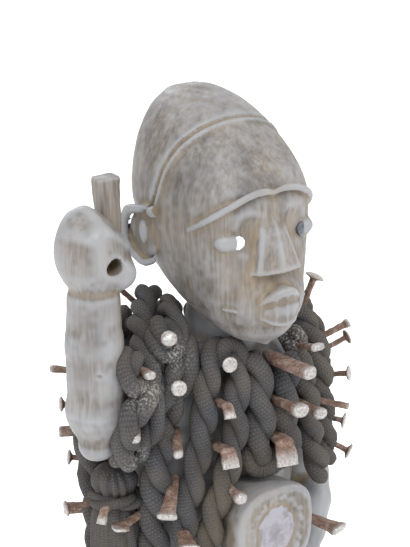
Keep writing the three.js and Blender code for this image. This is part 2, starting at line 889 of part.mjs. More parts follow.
const body = joined([
  neck(fitGap), trunk(fitGap), ...raisedArm(fitGap), hangingArm(fitGap), bellyBox(fitGap),
]);
const laid = [body];
const ropes = Object.entries(ropeRoutes).map(([name, row]) => {
  const corners = name.includes("back") ? plainPairSection : pairSection;
  return [name, ropeSolid(row, corners), ropeSolid(row, corners, fitGap * 1.3)];
});
ropes.push(["cloth_bundle", clothBundle(), clothBundle(fitGap)]);
for (const [name, solid, grown] of ropes) {
  const clear = clearOf(solid, [...laid, ...nails.map((nail) => nail.hole)]);
  place(name, mainBody(clear), ropeCloth);
  laid.push(grown);
}

nails.forEach((nail) => place(nail.name, nail.solid, iron));

export default group;
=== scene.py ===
import math

import bpy
import numpy as np
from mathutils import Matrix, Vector


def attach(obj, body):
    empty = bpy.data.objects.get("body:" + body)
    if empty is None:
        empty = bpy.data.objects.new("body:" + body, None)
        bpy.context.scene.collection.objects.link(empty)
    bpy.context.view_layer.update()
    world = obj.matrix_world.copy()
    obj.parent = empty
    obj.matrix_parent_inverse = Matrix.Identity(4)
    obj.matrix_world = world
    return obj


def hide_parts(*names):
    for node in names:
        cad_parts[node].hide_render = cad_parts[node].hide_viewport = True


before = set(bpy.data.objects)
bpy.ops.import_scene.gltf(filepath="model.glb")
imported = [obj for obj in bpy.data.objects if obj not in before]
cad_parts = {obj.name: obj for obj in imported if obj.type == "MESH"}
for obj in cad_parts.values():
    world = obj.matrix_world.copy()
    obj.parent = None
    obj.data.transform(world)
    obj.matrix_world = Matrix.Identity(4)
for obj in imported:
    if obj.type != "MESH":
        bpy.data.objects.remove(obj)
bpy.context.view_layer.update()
scene = bpy.context.scene
print("frame loaded with", len(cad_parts), "nodes")

# Camera first. The figure is measured in millimetres all through, and laid out in metres.
view = {"turn": 36, "height": 19, "away": 1150, "mmPerPixel": 0.70, "aim": (-36.6, -43, 526.8)}


def addCamera():
    turn, height = math.radians(view["turn"]), math.radians(view["height"])
    back = Vector((-math.sin(turn) * math.cos(height), -math.cos(turn) * math.cos(height),
                   math.sin(height)))
    aim = Vector(view["aim"]) / 1000
    data = bpy.data.cameras.new("photoCamera")
    data.sensor_width = 36
    data.sensor_fit = "VERTICAL"
    data.sensor_height = 36
    data.lens = view["away"] / view["mmPerPixel"] * 36 / 547
    data.clip_end = 50
    camera = bpy.data.objects.new("photoCamera", data)
    camera.location = aim + back * view["away"] / 1000
    camera.rotation_euler = back.to_track_quat("Z", "Y").to_euler()
    scene.collection.objects.link(camera)
    scene.camera = camera


addCamera()


# Small tools for fields, curves and meshes
def softUnion(a, b, k):
    h = np.clip(0.5 + 0.5 * (b - a) / k, 0, 1)
    return b * (1 - h) + a * h - k * h * (1 - h)


def softMeet(a, b, k):
    return -softUnion(-a, -b, k)


def softStep(t):
    t = np.clip(t, 0, 1)
    return t * t * (3 - 2 * t)


def hump(x, middle, reach):
    return np.exp(-((x - middle) / reach) ** 2)


def turned(yaw=0, pitch=0, roll=0):
    a, b, c = np.radians([yaw, pitch, roll])
    aroundZ = np.array([[np.cos(a), -np.sin(a), 0], [np.sin(a), np.cos(a), 0], [0, 0, 1]])
    aroundX = np.array([[1, 0, 0], [0, np.cos(b), -np.sin(b)], [0, np.sin(b), np.cos(b)]])
    aroundY = np.array([[np.cos(c), 0, np.sin(c)], [0, 1, 0], [-np.sin(c), 0, np.cos(c)]])
    return aroundZ @ aroundX @ aroundY


def ball(p, middle, radii, **turn):
    q = p - np.array(middle)
    if turn:
        q = q @ turned(**turn)
    r = np.array(radii, float)
    near = np.linalg.norm(q / r, axis=1)
    far = np.linalg.norm(q / (r * r), axis=1) + 1e-9
    return near * (near - 1) / far


def taper(p, a, b, ra, rb):
    a, b = np.array(a, float), np.array(b, float)
    along = b - a
    t = np.clip((p - a) @ along / (along @ along), 0, 1)
    return np.linalg.norm(p - a - t[:, None] * along, axis=1) - (ra + (rb - ra) * t)


def roll(p, points, radii, k=0):
    out = None
    for i in range(len(points) - 1):
        piece = taper(p, points[i], points[i + 1], radii[i], radii[i + 1])
        if out is None:
            out = piece
        else:
            out = softUnion(out, piece, k) if k else np.minimum(out, piece)
    return out


def throughKnots(knots, count):
    k = np.array(knots, float)
    k = np.vstack([2 * k[0] - k[1], k, 2 * k[-1] - k[-2]])
    t = np.linspace(0, len(k) - 3, count)
    i = np.minimum(t.astype(int), len(k) - 4)
    u = (t - i)[:, None]
    a, b, c, d = k[i], k[i + 1], k[i + 2], k[i + 3]
    return 0.5 * (2 * b + (c - a) * u + (2 * a - 5 * b + 4 * c - d) * u**2
                  + (3 * b - a - 3 * c + d) * u**3)


def evenly(points, step):
    gaps = np.linalg.norm(np.diff(points, axis=0), axis=1)
    at = np.concatenate([[0], np.cumsum(gaps)])
    count = max(int(round(at[-1] / step)), 2) + 1
    even = np.linspace(0, at[-1], count)
    return np.stack([np.interp(even, at, points[:, c]) for c in range(3)], 1), even


def rowProfile(z, rows, column):
    zs, values = rows[:, 0], rows[:, column]
    slopes = np.gradient(values, zs)
    i = np.clip(np.searchsorted(zs, z) - 1, 0, len(zs) - 2)
    h = zs[i + 1] - zs[i]
    t = np.clip((z - zs[i]) / h, 0, 1)
    return ((2 * t**3 - 3 * t**2 + 1) * values[i] + (t**3 - 2 * t**2 + t) * h * slopes[i]
            + (3 * t**2 - 2 * t**3) * values[i + 1] + (t**3 - t**2) * h * slopes[i + 1])


def only(d, p, middle, reach, change):
    # changes a field near one place, which keeps the carving quick
    m = np.linalg.norm(p - np.array(middle), axis=1) < reach
    if m.any():
        d[m] = change(d[m], p[m])
    return d


lumpTable = np.random.default_rng(11).random((32, 32, 32))


def lumps(p, size, shift=0.0):
    # smooth random hills of one size, from -1 to 1
    q = p / size + shift
    base = np.floor(q).astype(int)
    t = q - base
    t = t * t * (3 - 2 * t)
    out = 0
    for i in (0, 1):
        for j in (0, 1):
            for k in (0, 1):
                share = (np.where(i, t[:, 0], 1 - t[:, 0]) * np.where(j, t[:, 1], 1 - t[:, 1])
                         * np.where(k, t[:, 2], 1 - t[:, 2]))
                out = out + share * lumpTable[(base[:, 0] + i) % 32, (base[:, 1] + j) % 32,
                                              (base[:, 2] + k) % 32]
    return out * 2 - 1


def carve(field, low, high, cell):
    # a closed quad skin over a field, worked out only near the surface
    low = np.array(low, float)
    blocks = np.ceil((np.array(high) - low) / (cell * 4)).astype(int)
    count = blocks * 4
    index = np.stack(np.meshgrid(*[np.arange(b) for b in blocks], indexing="ij"), -1)
    index = index.reshape(-1, 3)
    rough = field(low + cell * (index * 4 + 1.5))
    grid = np.repeat(np.repeat(np.repeat(rough.reshape(blocks), 4, 0), 4, 1), 4, 2)
    near = index[np.abs(rough) < cell * 4 * 1.7]
    small = np.stack(np.meshgrid(*[np.arange(4)] * 3, indexing="ij"), -1).reshape(-1, 3)
    for start in range(0, len(near), 6000):
        cells = (near[start:start + 6000, None] * 4 + small[None]).reshape(-1, 3)
        grid[cells[:, 0], cells[:, 1], cells[:, 2]] = field(low + cell * cells)
    inside = grid < 0
    nx, ny, nz = count
    full = sum(inside[i:nx - 1 + i, j:ny - 1 + j, k:nz - 1 + k].astype(np.int8)
               for i in (0, 1) for j in (0, 1) for k in (0, 1))
    crossed = (full > 0) & (full < 8)
    at = np.argwhere(crossed)
    number = -np.ones(crossed.shape, int)
    number[crossed] = np.arange(len(at))
    corners = [(i, j, k) for i in (0, 1) for j in (0, 1) for k in (0, 1)]
    value = {c: grid[at[:, 0] + c[0], at[:, 1] + c[1], at[:, 2] + c[2]] for c in corners}
    places = np.zeros((len(at), 3))
    hits = np.zeros(len(at))
    for a in corners:
        for axis in range(3):
            if a[axis]:
                continue
            b = tuple(v + (n == axis) for n, v in enumerate(a))
            fa, fb = value[a], value[b]
            cut = (fa < 0) != (fb < 0)
            t = np.where(cut, fa / (fa - fb + 1e-20), 0)
            spot = np.tile(np.array(a, float), (len(at), 1))
            spot[:, axis] += t
            places[cut] += spot[cut]
            hits[cut] += 1
    points = low + cell * (at + places / hits[:, None])
    quads = []
    for axis, (u, v) in enumerate([(1, 2), (2, 0), (0, 1)]):
        first = [slice(1, -1)] * 3
        second = [slice(1, -1)] * 3
        first[axis], second[axis] = slice(0, -1), slice(1, None)
        a, b = inside[tuple(first)], inside[tuple(second)]
        edge = np.argwhere(a != b)
        starts = a[a != b]
        edge = edge + np.array([n != axis for n in range(3)])

        def cellAt(du, dv):
            q = edge.copy()
            q[:, u] -= du
            q[:, v] -= dv
            return number[q[:, 0], q[:, 1], q[:, 2]]

        quad = np.stack([cellAt(1, 1), cellAt(0, 1), cellAt(0, 0), cellAt(1, 0)], 1)
        quad[~starts] = quad[~starts][:, ::-1]
        quads.append(quad)
    for _ in range(2):  # draw the points onto the exact surface
        here = field(points)
        slope = np.stack([field(points + 0.3 * np.eye(3)[n]) - here for n in range(3)], 1) / 0.3
        move = (here / ((slope * slope).sum(1) + 1e-6))[:, None] * slope
        length = np.linalg.norm(move, axis=1)
        points = points - move * (0.8 * np.minimum(1, cell / np.maximum(length, 1e-6)))[:, None]
    return points, np.vstack(quads)


def normalsOf(points, quads):
    across = np.cross(points[quads[:, 2]] - points[quads[:, 0]],
                      points[quads[:, 3]] - points[quads[:, 1]])
    out = np.zeros_like(points)
    for c in range(4):
        for n in range(3):
            out[:, n] += np.bincount(quads[:, c], across[:, n], len(points))
    return out / (np.linalg.norm(out, axis=1)[:, None] + 1e-12)


def hollowness(points, quads, rounds):
    # how far each point lies in a hollow of the carving, in mm, negative on edges
    edges = np.vstack([quads[:, [0, 1]], quads[:, [1, 2]], quads[:, [2, 3]], quads[:, [3, 0]]])
    count = np.bincount(edges[:, 0], minlength=len(points)) + 1e-9
    smooth = points.copy()
    for _ in range(rounds):
        smooth = np.stack([np.bincount(edges[:, 0], smooth[edges[:, 1], n], len(points)) / count
                           for n in range(3)], 1)
    return ((smooth - points) * normalsOf(points, quads)).sum(1)


def makeMesh(name, points, faces, material, uvs=None, tints=None):
    mesh = bpy.data.meshes.new(name)
    mesh.from_pydata((points / 1000).tolist(), [], [tuple(f) for f in faces])
    mesh.polygons.foreach_set("use_smooth", [True] * len(mesh.polygons))
    if uvs is not None:
        mesh.uv_layers.new(name="along").data.foreach_set("uv", np.asarray(uvs).ravel())
    for tintName, values in (tints or {}).items():
        tint = mesh.attributes.new(tintName, "FLOAT", "POINT")
        tint.data.foreach_set("value", np.asarray(values, np.float32))
    mesh.update()
    mesh.materials.append(material)
    piece = bpy.data.objects.new(name, mesh)
    scene.collection.objects.link(piece)
    return piece


def fitOut(piece, node):
    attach(piece, "root")
    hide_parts(node)


# Materials
class Finish:  # wires up one node material in few words
    def __init__(self, name, **fixed):
        self.material = bpy.data.materials.new(name)
        self.material.use_nodes = True
        self.tree = self.material.node_tree
        self.shader = self.tree.nodes["Principled BSDF"]
        for key, value in fixed.items():
            self.shader.inputs[key.replace("_", " ")].default_value = value

    def put(self, kind, inputs=None, **settings):
        node = self.tree.nodes.new("ShaderNode" + kind)
        for key, value in settings.items():
            setattr(node, key, value)
        for key, value in (inputs or {}).items():
            self.feed(node.inputs[key], value)
        return node

    def feed(self, socket, value):
        if isinstance(value, bpy.types.NodeSocket):
            self.tree.links.new(value, socket)
        else:
            socket.default_value = value

    def sums(self, operation, a, b=0.0, c=0.0, clamp=False):
        node = self.put("Math", {0: a, 1: b, 2: c}, operation=operation, use_clamp=clamp)
        return node.outputs[0]

    def noise(self, where, scale, detail=4, rough=0.55, stretch=None):
        if stretch:
            where = self.put("Mapping", {"Vector": where, "Scale": stretch}).outputs[0]
        inputs = {"Vector": where, "Scale": scale, "Detail": detail, "Roughness": rough}
        return self.put("TexNoise", inputs).outputs["Fac"]

    def ramp(self, value, *stops):
        node = self.put("ValToRGB", {"Fac": value})
        ramp = node.color_ramp
        while len(ramp.elements) < len(stops):
            ramp.elements.new(0.5)
        for element, (place, colour) in zip(ramp.elements, stops):
            element.position = place
            element.color = (*colour, 1) if isinstance(colour, tuple) else (colour,) * 3 + (1,)
        return node.outputs["Color"]

    def mix(self, share, a, b, blend="MIX"):
        node = self.put("Mix", data_type="RGBA", blend_type=blend)
        self.feed(node.inputs[0], share)
        for socket, value in ((node.inputs[6], a), (node.inputs[7], b)):
            self.feed(socket, (*value, 1) if isinstance(value, tuple) else value)
        return node.outputs[2]

    def tint(self, name):
        return self.put("Attribute", attribute_name=name).outputs["Fac"]

    def bump(self, height, distance, strength=1.0, under=None):
        inputs = {"Height": height, "Distance": distance, "Strength": strength}
        if under is not None:
            inputs["Normal"] = under
        return self.put("Bump", inputs).outputs[0]

    def finish(self, **inputs):
        for key, value in inputs.items():
            self.feed(self.shader.inputs[key.replace("_", " ")], value)
        return self.material


woodLook = {"dark": (0.050, 0.041, 0.034), "middle": (0.150, 0.130, 0.112),
            "light": (0.270, 0.255, 0.240), "dust": (0.300, 0.225, 0.130),
            "sheen": (0.300, 0.310, 0.330), "grain": 420}


def woodFinish():
    f = Finish("wornWoodWithPaintedLight", Coat_Weight=0.08, Coat_Roughness=0.35)
    where = f.put("TexCoord").outputs["Object"]
    fine = f.noise(where, woodLook["grain"], 5, 0.6, (1, 1, 0.07))
    broad = f.noise(where, 28, 3, 0.5, (1, 1, 0.5))
    streak = f.noise(where, 110, 4, 0.6, (1, 1, 0.12))
    tone = f.sums("ADD", f.sums("MULTIPLY", fine, 0.5), f.sums("MULTIPLY", streak, 0.5))
    tone = f.sums("ADD", tone, f.sums("MULTIPLY_ADD", broad, 0.5, -0.25))
    colour = f.ramp(tone, (0.30, woodLook["dark"]), (0.47, woodLook["middle"]),
                    (0.66, woodLook["light"]))
    # painted shade: darkens hollows of the carving, the ear's groove, the head's side away from
    # the light and the wood between the ropes; its random patches are real dark stains
    dark = f.tint("dark")
    colour = f.mix(f.sums("MULTIPLY", dark, 0.8, clamp=True), colour, woodLook["dark"])
    # painted sheen: lightens raised edges and lit tops towards the pale bluish sheen colour,
    # partly real rubbed wear and partly a painted highlight
    wearAndSheen = f.sums("MULTIPLY", f.tint("wearAndSheen"), f.sums("ADD", broad, 0.35), clamp=True)
    colour = f.mix(wearAndSheen, colour, woodLook["sheen"])
    dusty = f.sums("MULTIPLY", f.tint("dust"), f.sums("MULTIPLY_ADD", streak, 1.6, -0.25),
                   clamp=True)
    colour = f.mix(dusty, colour, woodLook["dust"])
    rough = f.ramp(f.sums("SUBTRACT", streak, f.sums("MULTIPLY", f.tint("wearAndSheen"), 0.15)),
                   (0.2, 0.36), (0.7, 0.62))
    height = f.sums("ADD", f.sums("MULTIPLY", fine, 0.6), streak)
    normal = f.bump(height, 0.0006, 0.55)
    return f.finish(Base_Color=colour, Roughness=rough, Normal=normal)


clothLook = {"dark": (0.026, 0.027, 0.031), "middle": (0.062, 0.065, 0.074),
             "light": (0.120, 0.122, 0.128), "dust": (0.160, 0.125, 0.080),
             "columns": 15, "rowGap": 2.1}


def clothFinish():
    f = Finish("knittedRopeCloth", Specular_IOR_Level=0.25)
    where = f.put("TexCoord").outputs["Object"]
    place = f.put("SeparateXYZ", {0: f.put("UVMap", uv_map="along").outputs[0]})
    column = f.sums("MULTIPLY", place.outputs[0], clothLook["columns"])
    wale = f.sums("ABSOLUTE", f.sums("MULTIPLY_ADD", f.sums("FRACT", column), 2.0, -1.0))
    row = f.sums("ADD", f.sums("DIVIDE", place.outputs[1], clothLook["rowGap"]),
                 f.sums("MULTIPLY", wale, 0.45))
    stitch = f.sums("MULTIPLY_ADD", f.sums("SINE", f.sums("MULTIPLY", row, 2 * math.pi)),
                    0.5, 0.5)
    groove = f.sums("SUBTRACT", 1.0, f.sums("POWER", wale, 3.0))
    knit = f.sums("MULTIPLY", stitch, groove)
    fuzz = f.noise(where, 900, 3, 0.6)
    broad = f.noise(where, 35, 4, 0.6)
    tone = f.sums("ADD", f.sums("MULTIPLY", knit, 0.30), f.sums("MULTIPLY", fuzz, 0.35))
    tone = f.sums("ADD", tone, f.sums("MULTIPLY", broad, 0.5))
    colour = f.ramp(tone, (0.30, clothLook["dark"]), (0.55, clothLook["middle"]),
                    (0.85, clothLook["light"]))
    dusty = f.sums("MULTIPLY", f.tint("dust"), f.sums("ADD", fuzz, 0.1), clamp=True)
    colour = f.mix(dusty, colour, clothLook["dust"])
    speck = f.sums("MULTIPLY", f.tint("speck"),
                   f.ramp(f.noise(where, 520, 2, 0.5), (0.50, 0.0), (0.58, 1.0)), clamp=True)
    colour = f.mix(speck, colour, (0.42, 0.41, 0.38))
    normal = f.bump(fuzz, 0.0004, 0.5)
    normal = f.bump(knit, 0.0007, 0.7, normal)
    return f.finish(Base_Color=colour, Roughness=0.92, Normal=normal)


ironLook = {"rust": (0.170, 0.095, 0.065), "pale": (0.330, 0.270, 0.240),
            "dark": (0.060, 0.050, 0.046), "wearAndSheen": (0.520, 0.510, 0.500)}


def ironFinish():
    f = Finish("rustedIron", Specular_IOR_Level=0.5)
    where = f.put("TexCoord").outputs["Object"]
    broad = f.noise(where, 160, 4, 0.6)
    fine = f.noise(where, 700, 4, 0.65)
    tone = f.sums("ADD", f.sums("MULTIPLY", broad, 0.6), f.sums("MULTIPLY", fine, 0.4))
    colour = f.ramp(tone, (0.34, ironLook["dark"]), (0.48, ironLook["rust"]),
                    (0.64, ironLook["pale"]))
    bare = f.sums("MULTIPLY", f.tint("wearAndSheen"), f.ramp(fine, (0.32, 0.25), (0.55, 1.0)),
                  clamp=True)
    colour = f.mix(bare, colour, ironLook["wearAndSheen"])
    metal = f.sums("MULTIPLY", bare, 0.75)
    rough = f.sums("SUBTRACT", 0.75, f.sums("MULTIPLY", bare, 0.33))
    normal = f.bump(tone, 0.0008, 0.8)
    return f.finish(Base_Color=colour, Metallic=metal, Roughness=rough, Normal=normal)


def glassFinish(name, light, dark, scale, rough):
    f = Finish(name, Coat_Weight=0.4, Coat_Roughness=0.12)
    where = f.put("TexCoord").outputs["Object"]
    mottle = f.noise(where, scale, 5, 0.6)
    colour = f.ramp(mottle, (0.38, dark), (0.55, light))
    normal = f.bump(mottle, 0.0006, 0.35)
    return f.finish(Base_Color=colour, Roughness=rough, Normal=normal)


wood = woodFinish()
cloth = clothFinish()
iron = ironFinish()
paleGlass = glassFinish("paleEyeGlass", (0.80, 0.84, 0.86), (0.36, 0.45, 0.52), 330, 0.16)
darkGlass = glassFinish("darkEyeGlass", (0.075, 0.088, 0.105), (0.035, 0.04, 0.05), 300, 0.3)
mirrorGlass = glassFinish("blindMirrorGlass", (0.30, 0.29, 0.33), (0.19, 0.18, 0.20), 90, 0.38)
print("finishes made")

# Head
headRows = np.array([  # z, front, back, half width
    [474, -62, -34, 2], [477, -67, -32, 14], [483, -73, -26, 25], [492, -77, -12, 33.5],
    [505, -78, 12, 41], [520, -76.5, 33, 46], [535, -75, 45, 50], [550, -73.5, 52, 52.5],
    [565, -73, 55, 53.5], [580, -72, 56, 53.5], [592, -68, 55.5, 52], [604, -60, 54, 49],
    [616, -48.5, 51.5, 44], [626, -36, 48.5, 37.5], [634, -23, 45, 30.5], [640, -9, 40, 22.5],
    [643.5, 3, 35, 15], [645.6, 16, 24, 4]], float)
seam = {"z": [556, 566, 580, 596, 614.5, 626.5, 630.5, 640],
        "y": [-3, -6, -11.5, -15.5, -22, -29, -32, -40], "rim": 1.6, "groove": 1.3, "cap": 1.3}
face = {
    "brow": [(50, -42, 561), (47, -52, 567), (41, -62, 574.5), (32, -70, 582),
             (20, -73.5, 587.5), (9, -74.5, 589), (0, -72.5, 586.5)],
    "eye": (28, -69, 554.5), "mouthHalf": 22.5, "mouthMiddle": 504.5, "upperLip": 16.5,
    "lowerLip": 11, "lipFront": -93,
}


def skullField(p):
    z = np.clip(p[:, 2], 474, 645.6)
    front, back, half = (rowProfile(z, headRows, n) for n in (1, 2, 3))
    middle = front * 0.42 + back * 0.58
    y = p[:, 1] - middle
    deep = np.where(y < 0, middle - front, back - middle)
    squareness = np.where(y < 0, np.interp(z, [474, 490, 510, 575, 600, 625, 646],
                                           [2.1, 2.4, 2.9, 3.2, 2.7, 2.2, 2.0]), 2.1)
    size = (np.abs(p[:, 0] / half) ** squareness + np.abs(y / deep) ** squareness)
    d = (size ** (1 / squareness) - 1) * np.minimum(half, deep) * 0.92
    return np.maximum(np.maximum(d, p[:, 2] - 645.6), 474 - p[:, 2])


def mouthField(d, p):
    x, y, z = np.abs(p[:, 0]), p[:, 1], p[:, 2]
    share = np.clip(x / face["mouthHalf"], 0, 1)
    top = face["mouthMiddle"] + 1.2 + face["upperLip"] * (1 - share**1.9)
    bottom = face["mouthMiddle"] - face["lowerLip"] * (1 - share**2.2)
    v = (z - bottom) / np.maximum(top - bottom, 1)
    front = np.interp(x, [0, 8, 15, 20, 23], [face["lipFront"], -91, -85.5, -79, -74])
    shape = (2.6 - 1.9 * hump(v, 0.88, 0.10) + 0.9 * hump(v, 0.62, 0.07)
             - 0.9 * hump(v, 0.40, 0.22) - 0.9 * hump(v, 0.04, 0.09))
    lens = softMeet(softMeet(front + shape - y, z - top, 1.0), bottom - z, 1.4)
    lens = np.maximum(lens, y + 62)
    return softUnion(d, lens * 0.8, 1.0)


def noseField(d, p):
    x, y, z = p[:, 0], p[:, 1], p[:, 2]
    ridge = np.interp(z, [525, 532, 557, 582, 592], [-88, -87.5, -79, -66, -62])
    half = np.interp(z, [525, 532, 545, 557, 582], [18.5, 18, 13.5, 9.5, 3.5])
    front = (ridge + 0.30 * np.abs(x) - y) * 0.86
    side = (np.abs(x) - half - (y + 84) * 0.25) * 0.9
    base = (531.5 - z) - (y + 84) * 0.1
    wedge = np.maximum(softMeet(softMeet(front, side, 1.4), base, 0.9), y + 52)
    return softUnion(d, wedge, 1.8)


earLook = {"rim": [(-12, 15, 2), (-9, 20.5, 4), (-1, 21, 6.5), (9, 18, 9), (14.5, 9, 10.5),
                   (14, -3, 10), (9, -13.5, 7.5), (1.5, -19.5, 4.5), (-6, -18, 2)],
           "middle": (53.5, 2.5, 547), "rimRadius": 3.1, "lean": 9}


def earField(d, p):
    # back, up and out of the head, from the ear's middle
    q = p - np.array(earLook["middle"])
    lean = math.radians(earLook["lean"])
    back = q[:, 1] * math.cos(lean) - q[:, 2] * math.sin(lean)
    up = q[:, 2] * math.cos(lean) + q[:, 1] * math.sin(lean)
    local = np.stack([back, up, q[:, 0]], 1)
    rim = roll(local, throughKnots(earLook["rim"], 20),
               np.interp(np.linspace(0, 1, 20), [0, 0.2, 0.6, 1], [2.0, 3.2, 3.3, 2.4]))
    floor = ball(local, (2, 0.5, 1.5), (12.5, 18.5, 3.6), yaw=0, pitch=0, roll=-22)
    bowl = ball(local, (-1, 3, 4.2), (4.2, 8.5, 3.0))
    ear = softUnion(softUnion(rim, floor, 1.6), bowl, 1.5)
    ear = softMeet(ear, up - 21.5, 1.2)
    return softUnion(d, ear, 1.6)


def headField(p):
    d = skullField(p)
    q = np.column_stack([np.abs(p[:, 0]), p[:, 1], p[:, 2]])
    d = only(d, q, (0, -70, 505), 60,
             lambda d, p: softUnion(d, ball(p, (0, -64.5, 506), (28, 20, 20)), 9))
    d = only(d, q, (0, -66, 486), 45,
             lambda d, p: softUnion(d, ball(p, (0, -60, 488), (22, 18, 12)), 8))
    d = only(d, q, (26, -80, 562), 46, lambda d, p: softMeet(
        d, -ball(p, (26, -86.5, 560), (25, 17, 22), yaw=-14), 2.6))
    browLine = throughKnots(face["brow"], 16)
    browWidth = np.interp(np.linspace(0, 1, 16), [0, 0.2, 0.8, 1], [0.8, 2.2, 2.5, 1.8])
    d = only(d, q, (25, -62, 577), 46,
             lambda d, p: softUnion(d, roll(p, browLine, browWidth), 2.0))
    d = only(d, q, (28, -64, 555), 36, lambda d, p: softUnion(
        d, ball(p, (27.5, -60.5, 554.5), (15, 9.5, 8.5), yaw=-16), 2.2))
    d = only(d, q, (0, -76, 555), 46, noseField)
    d = only(d, q, (8, -86, 507), 40, mouthField)
    d = only(d, q, (56, 2, 547), 40, earField)
    # the cap: a raised rim, a groove behind it and a slightly thicker crown
    edge = np.interp(p[:, 2], seam["z"], seam["y"])
    steep = np.interp(p[:, 2], [560, 610, 628, 640], [0.94, 0.9, 0.8, 0.75])
    behind = (p[:, 1] - edge) * steep
    fade = softStep((p[:, 2] - 559) / 9)
    rise = (seam["rim"] * hump(behind, 0, 1.7) - seam["groove"] * hump(behind, 3.4, 1.2)
            + seam["cap"] * softStep((behind - 3) / 3))
    d = d - rise * fade
    # an old crack down each side of the back of the cap
    line = hump(np.abs(q[:, 0] - 37), 0, 1.0) * (p[:, 1] > 20) * softStep((p[:, 2] - 556) / 6) \
        * softStep((612 - p[:, 2]) / 6)
    return d + 1.5 * line


def neckField(p):
    return softUnion(taper(p, (0, -15, 508), (0, -13, 470), 25, 27),
                     taper(p, (0, -13, 470), (0, 0, 440), 27, 37), 4)


def headShell(p):
    return np.maximum(softUnion(headField(p), neckField(p) + 0.8, 3), 462 - p[:, 2])


# Raised arm and fist
armLook = {"forearm": [(-120, -30, 416), (-120, -30, 440), (-121, -30, 490), (-120.5, -30, 530)],
           "radii": [11.5, 20.5, 19.5, 18], "elbow": (-119.5, -29, 413)}
fistLook = {"hole": (-117, -56, 549.5), "holeHalf": (7, 5.8), "holeDepth": 22}


def fistField(p):
    egg = ball(p, (-121, -30, 555), (26.2, 24.6, 34), yaw=0, pitch=0, roll=-14)
    q = p - np.array((-121, -30, 555))
    # flat carved planes: the hood, the back of the hand and the side with the socket
    for direction, reach in (((-0.80, -0.55, 0.10), 22.5), ((0.36, -0.92, 0.12), 22.0),
                             ((0.62, -0.30, 0.72), 22.5), ((-0.45, -0.35, 0.82), 27.0),
                             ((0.9, 0.3, 0.1), 23.5), ((-0.5, 0.8, 0.2), 23.0)):
        n = np.array(direction) / np.linalg.norm(direction)
        egg = softMeet(egg, q @ n - reach, 3.5)
    egg = softMeet(egg, 528.5 - p[:, 2] - 0.10 * (p[:, 0] + 121), 3.0)
    fingers = ball(p, (-107, -42, 541), (11.5, 11.5, 11), yaw=0)
    egg = softUnion(egg, fingers, 5)
    hole = fistLook["hole"]
    along = p[:, 1] - hole[1]
    across = np.sqrt(((p[:, 0] - hole[0]) / fistLook["holeHalf"][0]) ** 2
                     + ((p[:, 2] - hole[2]) / fistLook["holeHalf"][1]) ** 2)
    socket = np.maximum((across - 1) * 6, along - fistLook["holeDepth"])
    return softMeet(egg, -socket, 1.2)


def raisedField(p):
    forearm = roll(p, armLook["forearm"], armLook["radii"], 4)
    forearm = softUnion(forearm, ball(p, armLook["elbow"], (13, 12, 11)), 6)
    upper = roll(p, [(-118, -27, 437), (-98, -12, 442), (-74, -2, 440)], [19, 21, 21], 3)
    bridge = taper(p, (-116, -29, 466), (-96, -20, 458), 17, 12)
    arm = softUnion(softUnion(forearm, upper, 8), bridge, 9)
    arm = arm + 1.1 * hump(p[:, 2], 529.5, 3.2) * (p[:, 0] < -90)
    d = softUnion(arm, fistField(p), 1.6)
    pin = np.linalg.norm(p - np.array((-128.5, -48.5, 473)), axis=1) - 1.4
    return softMeet(np.maximum(d, p[:, 0] + 76), -pin, 0.5)


# Belly box
boxLook = {"middle": (-3, 335), "half": (33.5, 32.5), "front": -87, "power": 2.9,
           "mirror": (-4, 334), "mirrorHalf": (19, 22)}


def boxField(p):
    x = np.abs(p[:, 0] - boxLook["middle"][0])
    z = np.abs(p[:, 2] - boxLook["middle"][1])
    y = p[:, 1]
    grow = np.interp(y, [-87, -80, -60, -35], [0.0, 0.3, -2.2, -5.5])
    n = boxLook["power"]
    size = ((x / (boxLook["half"][0] + grow)) ** n + (z / (boxLook["half"][1] + grow)) ** n)
    side = (size ** (1 / n) - 1) * 32
    d = softMeet(side, boxLook["front"] - y, 3.2)
    # the crust that beds the mirror
    mx = (p[:, 0] - boxLook["mirror"][0]) / boxLook["mirrorHalf"][0]
    mz = (p[:, 2] - boxLook["mirror"][1]) / boxLook["mirrorHalf"][1]
    ring = np.sqrt(mx**2 + mz**2)
    crust = hump(ring, 1.22, 0.16) * (y < -78)
    rough = 0.55 * lumps(p, 3.1) + 0.35 * lumps(p, 1.9, 5.3)
    d = d - crust * (0.5 + 0.9 * rough)
    sink = softStep((1.02 - ring) / 0.06) * (y < -80)
    d = np.maximum(d, (-86.4 - y) * (sink > 0.5) - 50 * (sink <= 0.5))
    return np.maximum(d, y + 36)


# Body, legs and base
trunkRows = np.array([  # z, half width, half depth, middle y
    [203, 49, 34, -3], [215, 57, 42, -3], [232, 60.5, 44, -3], [262, 60, 43, -3],
    [300, 62, 43, -3], [345, 67, 44, -3], [405, 76, 43, -3], [428, 76, 41, -3],
    [446, 61, 36, -4], [458, 43, 31, -7], [467, 30, 27, -10]], float)


def trunkField(p):
    z = np.clip(p[:, 2], 203, 467)
    half, deep, middle = (rowProfile(z, trunkRows, n) for n in (1, 2, 3))
    size = np.abs(p[:, 0] / half) ** 2.2 + np.abs((p[:, 1] - middle) / deep) ** 2.2
    d = (size ** (1 / 2.2) - 1) * np.minimum(half, deep)
    return np.maximum(np.maximum(d, p[:, 2] - 467), 203 - p[:, 2])


